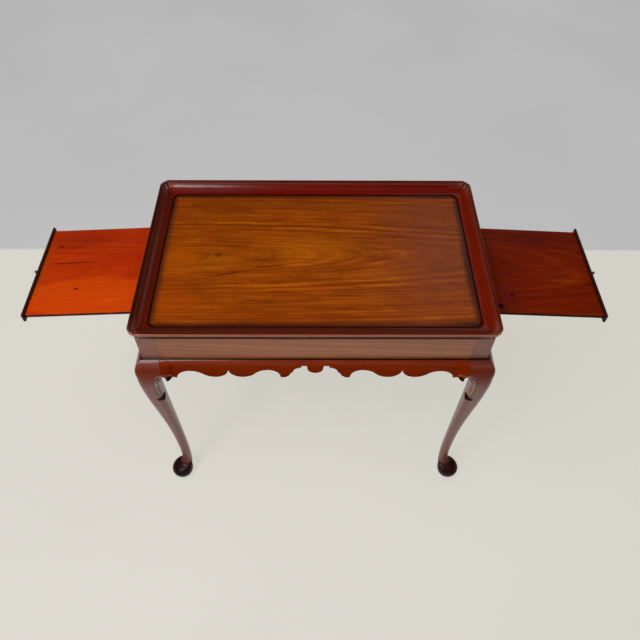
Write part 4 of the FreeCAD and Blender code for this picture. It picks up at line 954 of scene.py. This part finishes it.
def makeKneeBlock(side, way):
    # The section grows from the skirt's to the knee's: back, top, elliptic swell, face, underside.
    degrees, half, away = sides[side]
    neighbour = neighbours[side][0 if way < 0 else 1]
    edge = blockEdge()
    across, low = half - leg["post"] - skirt["blockLength"] + edge[:, 0], edge[:, 1]
    share = smoothStep(edge[:, 0] / skirt["blockLength"])
    swell = skirt["forward"] + (leg["kneeReach"] - skirt["forward"]) * share
    full = skirt["forward"] + (leg["kneeDrop"] - skirt["forward"]) * share
    tall = np.minimum(full, -low - skirt["blockGap"])
    back, rounding = away - skirt["thick"], skirt["blockEdge"]

    def faceAt(down):
        return -away - swell * np.sqrt(1 - (1 - np.clip(down / full, 0, 1)) ** 2)

    section = [(0 * share, -back + 0 * share), (0 * share, -away + 0 * share)]
    for part in np.linspace(0, 1, 30)[1:]:
        down = tall * (1 - np.cos(part * math.pi / 2))
        section.append((-down, faceAt(down)))
    upper = section[-1][0]
    for part in np.linspace(0, 1, 24)[1:]:
        drop = upper + (low + rounding - upper) * part
        section.append((drop, faceAt(-drop)))
    faceOut = section[-1][1]
    for angle in np.radians((30, 60, 90)):
        section.append((low + rounding * (1 - math.sin(angle)), faceOut + rounding * (1 - math.cos(angle))))
    section.append((low, -back + 0 * share))
    z, y = (np.stack([s[k] for s in section], 1) for k in range(2))
    x = np.broadcast_to(across[:, None], z.shape)
    height = z + table["crease"]
    onFace = np.zeros_like(x)
    onFace[:, skirtFinish["faceColumns"]] = 1
    out, bead, groove = carve(half - x, height)
    # Painted shade in the scroll's groove, on the ledge under the frieze and on the lower edge and underside.
    dirt = groove * onFace + underFrieze(-y - away) * (z > -leg["kneeDrop"] / 2)
    dirt[:, skirtFinish["lowColumns"]] += skirtFinish["blockLow"]
    dull = smoothStep((-z - skirt["ledge"] / 2) / (skirt["ledge"] / 2)) * skirtFinish["dull"] * (1 - bead)
    # Painted highlight, with some wear, along the bead.
    values = {"wear": bead * onFace * skirtFinish["bead"], "dirt": dirt, "dull": dull}
    points = turned(np.stack([x * way, y - out * onFace, height], -1), degrees)
    part = skin(points, {name: np.clip(value, 0, 1) for name, value in values.items()})
    addPiece(f"{side}_{neighbour}_knee_block_carved", part, skirtWoods[side], "frame",
             [f"{side}_knee_block_{neighbour}"], 40)


for side in sides:
    makeSkirt(side)
    for way in (-1, 1):
        makeKneeBlock(side, way)
print("skirts made")


# Rails and inner parts keep the frame's shapes.
railEdge, blockCorner = 0.35 * mm, 1 * mm
for side in longSides:
    dress(f"{side}_rail", friezeWoods[side], railEdge)
for side in shortSides:
    for name in ("lower_rail", "upper_rail"):
        dress(f"{side}_{name}", friezeWoods[side], railEdge)
    for name in longSides:
        dress(f"{side}_slide_guide_{name}", innerWood)
    dress(f"{side}_slide_stop", crossWood)
for side in sides:
    for name in ("top", "skirt"):
        dress(f"{side}_{name}_glue_blocks", innerWood if side in longSides else crossWood, blockCorner)
dress("centre_cross_rail", crossWood)


slide = millimetres(
    thick=8, edge=1.2, stripEdge=1.4, stripWorn=2, knob=3.7, knobEase=0.01, stem=1.5, stand=7.4, pin=17.5)
knobFoot = ((0, 2.9), (0.7, 3.0), (1.2, 2.4))  # along and radius, in millimetres
knobWaist = ((1.7, 1.05), (2.8, 0.9))  # along in millimetres, and radius over the stem's
slideFinish = {"edge": 0.85, "stripTop": 0.7, "boardRows": 80, "stripRows": 50, "knobSides": 32}


def roundedRing(halfX, halfY, radius):
    # Rectangle with rounded corners, as a closed loop of points.
    angles = np.radians(np.linspace(0, 90, 5))
    corner = np.stack([np.cos(angles), np.sin(angles)], -1) * radius
    loops = []
    for k, (wayX, wayY) in enumerate(((1, 1), (-1, 1), (-1, -1), (1, -1))):
        arc = corner * (wayX, wayY) + ((halfX - radius) * wayX, (halfY - radius) * wayY)
        loops.append(arc if k % 2 == 0 else arc[::-1])
    return np.concatenate(loops)


def softBar(length, width, height, edge, rows):
    # A bar along X from 0 to length: a rounded rectangle carried along, drawn in at both ends by a
    # quarter circle, its middle at Y 0 and Z 0.
    turn = np.radians(np.linspace(0, 90, 6))
    endX, endIn = edge * (1 - np.cos(turn)), edge * (1 - np.sin(turn))
    along = np.concatenate([endX, np.linspace(edge, length - edge, rows)[1:-1], length - endX[::-1]])
    drawn = np.concatenate([endIn, np.zeros(rows - 2), endIn[::-1]])
    least = edge * 0.05
    loop = np.array([roundedRing(width / 2 - d, height / 2 - d, max(edge - d, least)) for d in drawn])
    x = np.broadcast_to(along[:, None], loop.shape[:2])
    return np.concatenate([x[..., None], loop], -1)


def makeSlide(side, material):
    # Board, front strip and knob of one slide. The board falls outwards along its joint's axis.
    way = -1 if side == "left" else 1
    body = f"{side}_slide"
    axis = np.array(next(j["axis"] for j in frame["joints"] if j["child"] == body))
    normal = np.array([-axis[2] * way, 0, axis[0] * way])
    low, high = (np.array(corner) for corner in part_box(f"{side}_slide_board"))
    # The board's outer top edge; its own length along the fall follows from its box.
    outer = np.array([low[0] if way < 0 else high[0], 0, low[2] + slide["thick"] * normal[2]])
    length = (high[0] - low[0] - slide["thick"] * abs(normal[0])) / abs(axis[0])
    width = high[1] - low[1]
    grid = softBar(length, width, slide["thick"], slide["edge"], slideFinish["boardRows"])
    points = outer - axis * grid[..., :1] - normal * slide["thick"] / 2
    points = points + np.array([0, 1, 0]) * grid[..., 1:2] + normal * grid[..., 2:3]
    dirt = smoothStep((abs(grid[..., 1]) - width / 2 + slide["edge"]) / slide["edge"]) * slideFinish["edge"]
    addPiece(f"{side}_board_worn", skin(points, {"dirt": dirt}), material, body,
             [f"{side}_slide_board"])
    # The dark front, upright, its edges rounded.
    low, high = (np.array(corner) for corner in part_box(f"{side}_slide_front"))
    deep, wide, tall = high - low
    bar = softBar(wide, deep, tall, slide["stripEdge"], slideFinish["stripRows"])
    middle = (low + high) / 2
    points = np.stack([middle[0] + bar[..., 1], low[1] + bar[..., 0], middle[2] + bar[..., 2]], -1)
    topShare = smoothStep((points[..., 2] - (high[2] - slide["stripWorn"])) / slide["stripWorn"])
    part = skin(points, {"wear": topShare * slideFinish["stripTop"]})
    addPiece(f"{side}_front_strip", part, darkWood, body, [f"{side}_slide_front"])
    # Knob: a turned ball on a waisted stem, its profile as (distance along, radius).
    level = (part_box(f"{side}_slide_knob")[0][2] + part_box(f"{side}_slide_knob")[1][2]) / 2
    stripOut = low[0] if way < 0 else high[0]
    stem, ball = slide["stem"], slide["stand"] - slide["knobEase"]
    profile = [(-slide["pin"], stem * 0.05), (-slide["pin"], stem), (0, stem)]
    profile += [(along * mm, radius * mm) for along, radius in knobFoot]
    profile += [(along * mm, stem * share) for along, share in knobWaist]
    for angle in np.radians(np.linspace(150, 2, 22)):
        profile.append((ball + slide["knob"] * math.cos(angle), slide["knob"] * math.sin(angle)))
    along, radius = np.array(profile).T[..., None]
    spin = np.arange(slideFinish["knobSides"]) * 2 * math.pi / slideFinish["knobSides"]
    points = np.stack([stripOut + way * along + 0 * spin, radius * np.cos(spin),
                       level + radius * np.sin(spin)], -1)
    addPiece(f"{side}_turned_knob", skin(points), brass, body, [f"{side}_slide_knob"])
    dress(f"{side}_stop_screws", steel, 0)


makeSlide("left", leftWood)
makeSlide("right", rightWood)
print("slides made")


room = {
    "size": 8.0, "wallFrom": 0.640, "wallTo": 0.652, "darkFrom": -0.75, "darkTo": -1.15,
    "floor": (paint(217, 214, 204), paint(225, 222, 213)),
    "wall": (paint(190, 189, 190), paint(202, 201, 202)),
    "dark": paint(40, 36, 34), "glow": 0.78,
}


def makeFloor():
    # Plain pale floor; past a line behind the table it has the tone of the wall that closes the room, and
    # polish reflects a darker room in front. Part of it shines by itself, so that the shadow stays weak.
    size = room["size"]
    mesh = bpy.data.meshes.new("floor")
    corners = [(x * size, y * size, 0) for x, y in ((-1, -1), (1, -1), (1, 1), (-1, 1))]
    mesh.from_pydata(corners, [], [(0, 1, 2, 3)])
    floor = bpy.data.objects.new("floor", mesh)
    bpy.context.scene.collection.objects.link(floor)
    material, wire = newMaterial("paleFloor")
    place = wire.node("TexCoord", output="Object")
    y = place.split()[1]
    cloud = place.noise((1.2, 1.2, 1), 4)
    line = y.ease(room["wallFrom"], room["wallTo"])
    colour = line.choose(cloud.choose(*room["floor"]), cloud.choose(*room["wall"]))
    plain = finishMaterial(wire, colour, 0.6, cloud * 0.001, {"shine": 0.2, "bump": 0.1})
    rays = wire.node("LightPath").socket.node.outputs
    camera, glossy, through = (Wire(wire.tree, rays[k]) for k in (
        "Is Camera Ray", "Is Glossy Ray", "Is Transmission Ray"))
    dark = glossy * y.ease(room["darkFrom"], room["darkTo"])
    glow = wire.node("Emission", {}, {"Color": dark.choose(colour, room["dark"])})
    share = wire.maths("MAXIMUM", wire.maths("MAXIMUM", camera * room["glow"], glossy), through)
    surface = wire.node("MixShader", {}, {0: share, 1: plain, 2: glow})
    wire.node("OutputMaterial", {}, {"Surface": surface})
    mesh.materials.append(material)


def addLight(name, look):
    light = bpy.data.lights.new(name, "AREA")
    light.shape = "RECTANGLE"
    light.size, light.size_y = look["size"]
    light.energy = look["power"]
    light.color = look["colour"]
    lamp = bpy.data.objects.new(name, light)
    bpy.context.scene.collection.objects.link(lamp)
    lamp.location = look["place"]
    lamp.rotation_mode = "QUATERNION"
    lamp.rotation_quaternion = (Vector(look["place"]) - Vector(look["target"])).to_track_quat("Z", "Y")
    lamp.visible_glossy = look.get("glossy", True)


lights = {
    "overhead": {"place": (-0.4, -0.5, 3.2), "target": (0, 0, 0.4), "size": (2.4, 2.0), "power": 36,
                 "colour": (1.0, 0.985, 0.96), "glossy": False},
    "frontFill": {"place": (-0.6, -2.6, 1.4), "target": (0, -0.25, 0.5), "size": (2.0, 1.4), "power": 10,
                  "colour": (1.0, 0.97, 0.94), "glossy": False},
    "frontLeft": {"place": (-1.08, -1.3, 2.2), "target": (-0.3, -0.1, 0.6), "size": (0.6, 1.8), "power": 30,
                  "colour": (1.0, 0.98, 0.97)},
    "backRight": {"place": (0.75, 1.55, 2.3), "target": (0.25, 0.0, 0.66), "size": (0.5, 0.8), "power": 3,
                  "colour": (0.95, 0.97, 1.0)},
    "lowRight": {"place": (2.2, -0.1, 1.2), "target": (0.37, -0.2, 0.55), "size": (0.35, 0.7), "power": 0.8,
                 "colour": (1.0, 0.98, 0.96)},
}
makeFloor()
for name, look in lights.items():
    addLight(name, look)


# Strengths of the pale light: on the object, to the eye and, as polish shows it, dark, low down and above.
sky = {
    "light": 0.26, "eye": 0.62, "dark": 0.05, "low": 0.5, "lowAt": (0.45, 0.15), "top": 0.25,
    "topAt": (0.86, 0.97), "colour": (0.86, 0.88, 0.92, 1),
}


def makeWorld():
    # Even pale light; what the eye and polish see of it is bright low down, dark above and soft overhead.
    world = bpy.data.worlds.new("room")
    world.use_nodes = True
    world.node_tree.nodes.clear()
    wire = Wire(world.node_tree)
    height = wire.node("TexCoord", output="Generated").split()[2]
    rays = wire.node("LightPath").socket.node.outputs
    camera, glossy = (Wire(wire.tree, rays[k]) for k in ("Is Camera Ray", "Is Glossy Ray"))
    shown = sky["dark"] + height.ease(*sky["lowAt"]) * sky["low"] + height.ease(*sky["topAt"]) * sky["top"]
    strength = sky["light"] + camera * (sky["eye"] - sky["light"]) + glossy * (shown - sky["light"])
    light = wire.node("Background", {}, {"Color": sky["colour"], "Strength": strength})
    wire.node("OutputWorld", {}, {"Surface": light})
    bpy.context.scene.world = world


makeWorld()

# Camera: place in metres, angles in degrees.
view = {
    "x": 0.000864, "y": -0.944728, "z": 1.652524, "yaw": -0.658, "pitch": 52.723, "roll": 0.6,
    "lens": 34.021, "sensor": 36,  # millimetres
}


def makeCamera():
    # Looks forward and down; right and up are then turned about the line of sight by the roll.
    yaw, pitch, roll = (math.radians(view[k]) for k in ("yaw", "pitch", "roll"))
    flat = np.array([math.cos(yaw), math.sin(yaw), 0])
    forward = np.array([-math.sin(yaw) * math.cos(pitch), math.cos(yaw) * math.cos(pitch), -math.sin(pitch)])
    rise = np.cross(flat, forward)
    right = flat * math.cos(roll) + rise * math.sin(roll)
    up = rise * math.cos(roll) - flat * math.sin(roll)
    data = bpy.data.cameras.new("camera")
    data.lens, data.sensor_width = view["lens"], view["sensor"]
    camera = bpy.data.objects.new("camera", data)
    bpy.context.scene.collection.objects.link(camera)
    turn = Matrix(np.stack([right, up, -forward], 1).tolist()).to_4x4()
    turn.translation = (view["x"], view["y"], view["z"])
    camera.matrix_world = turn
    bpy.context.scene.camera = camera


makeCamera()
bpy.context.scene.view_settings.view_transform = "Standard"
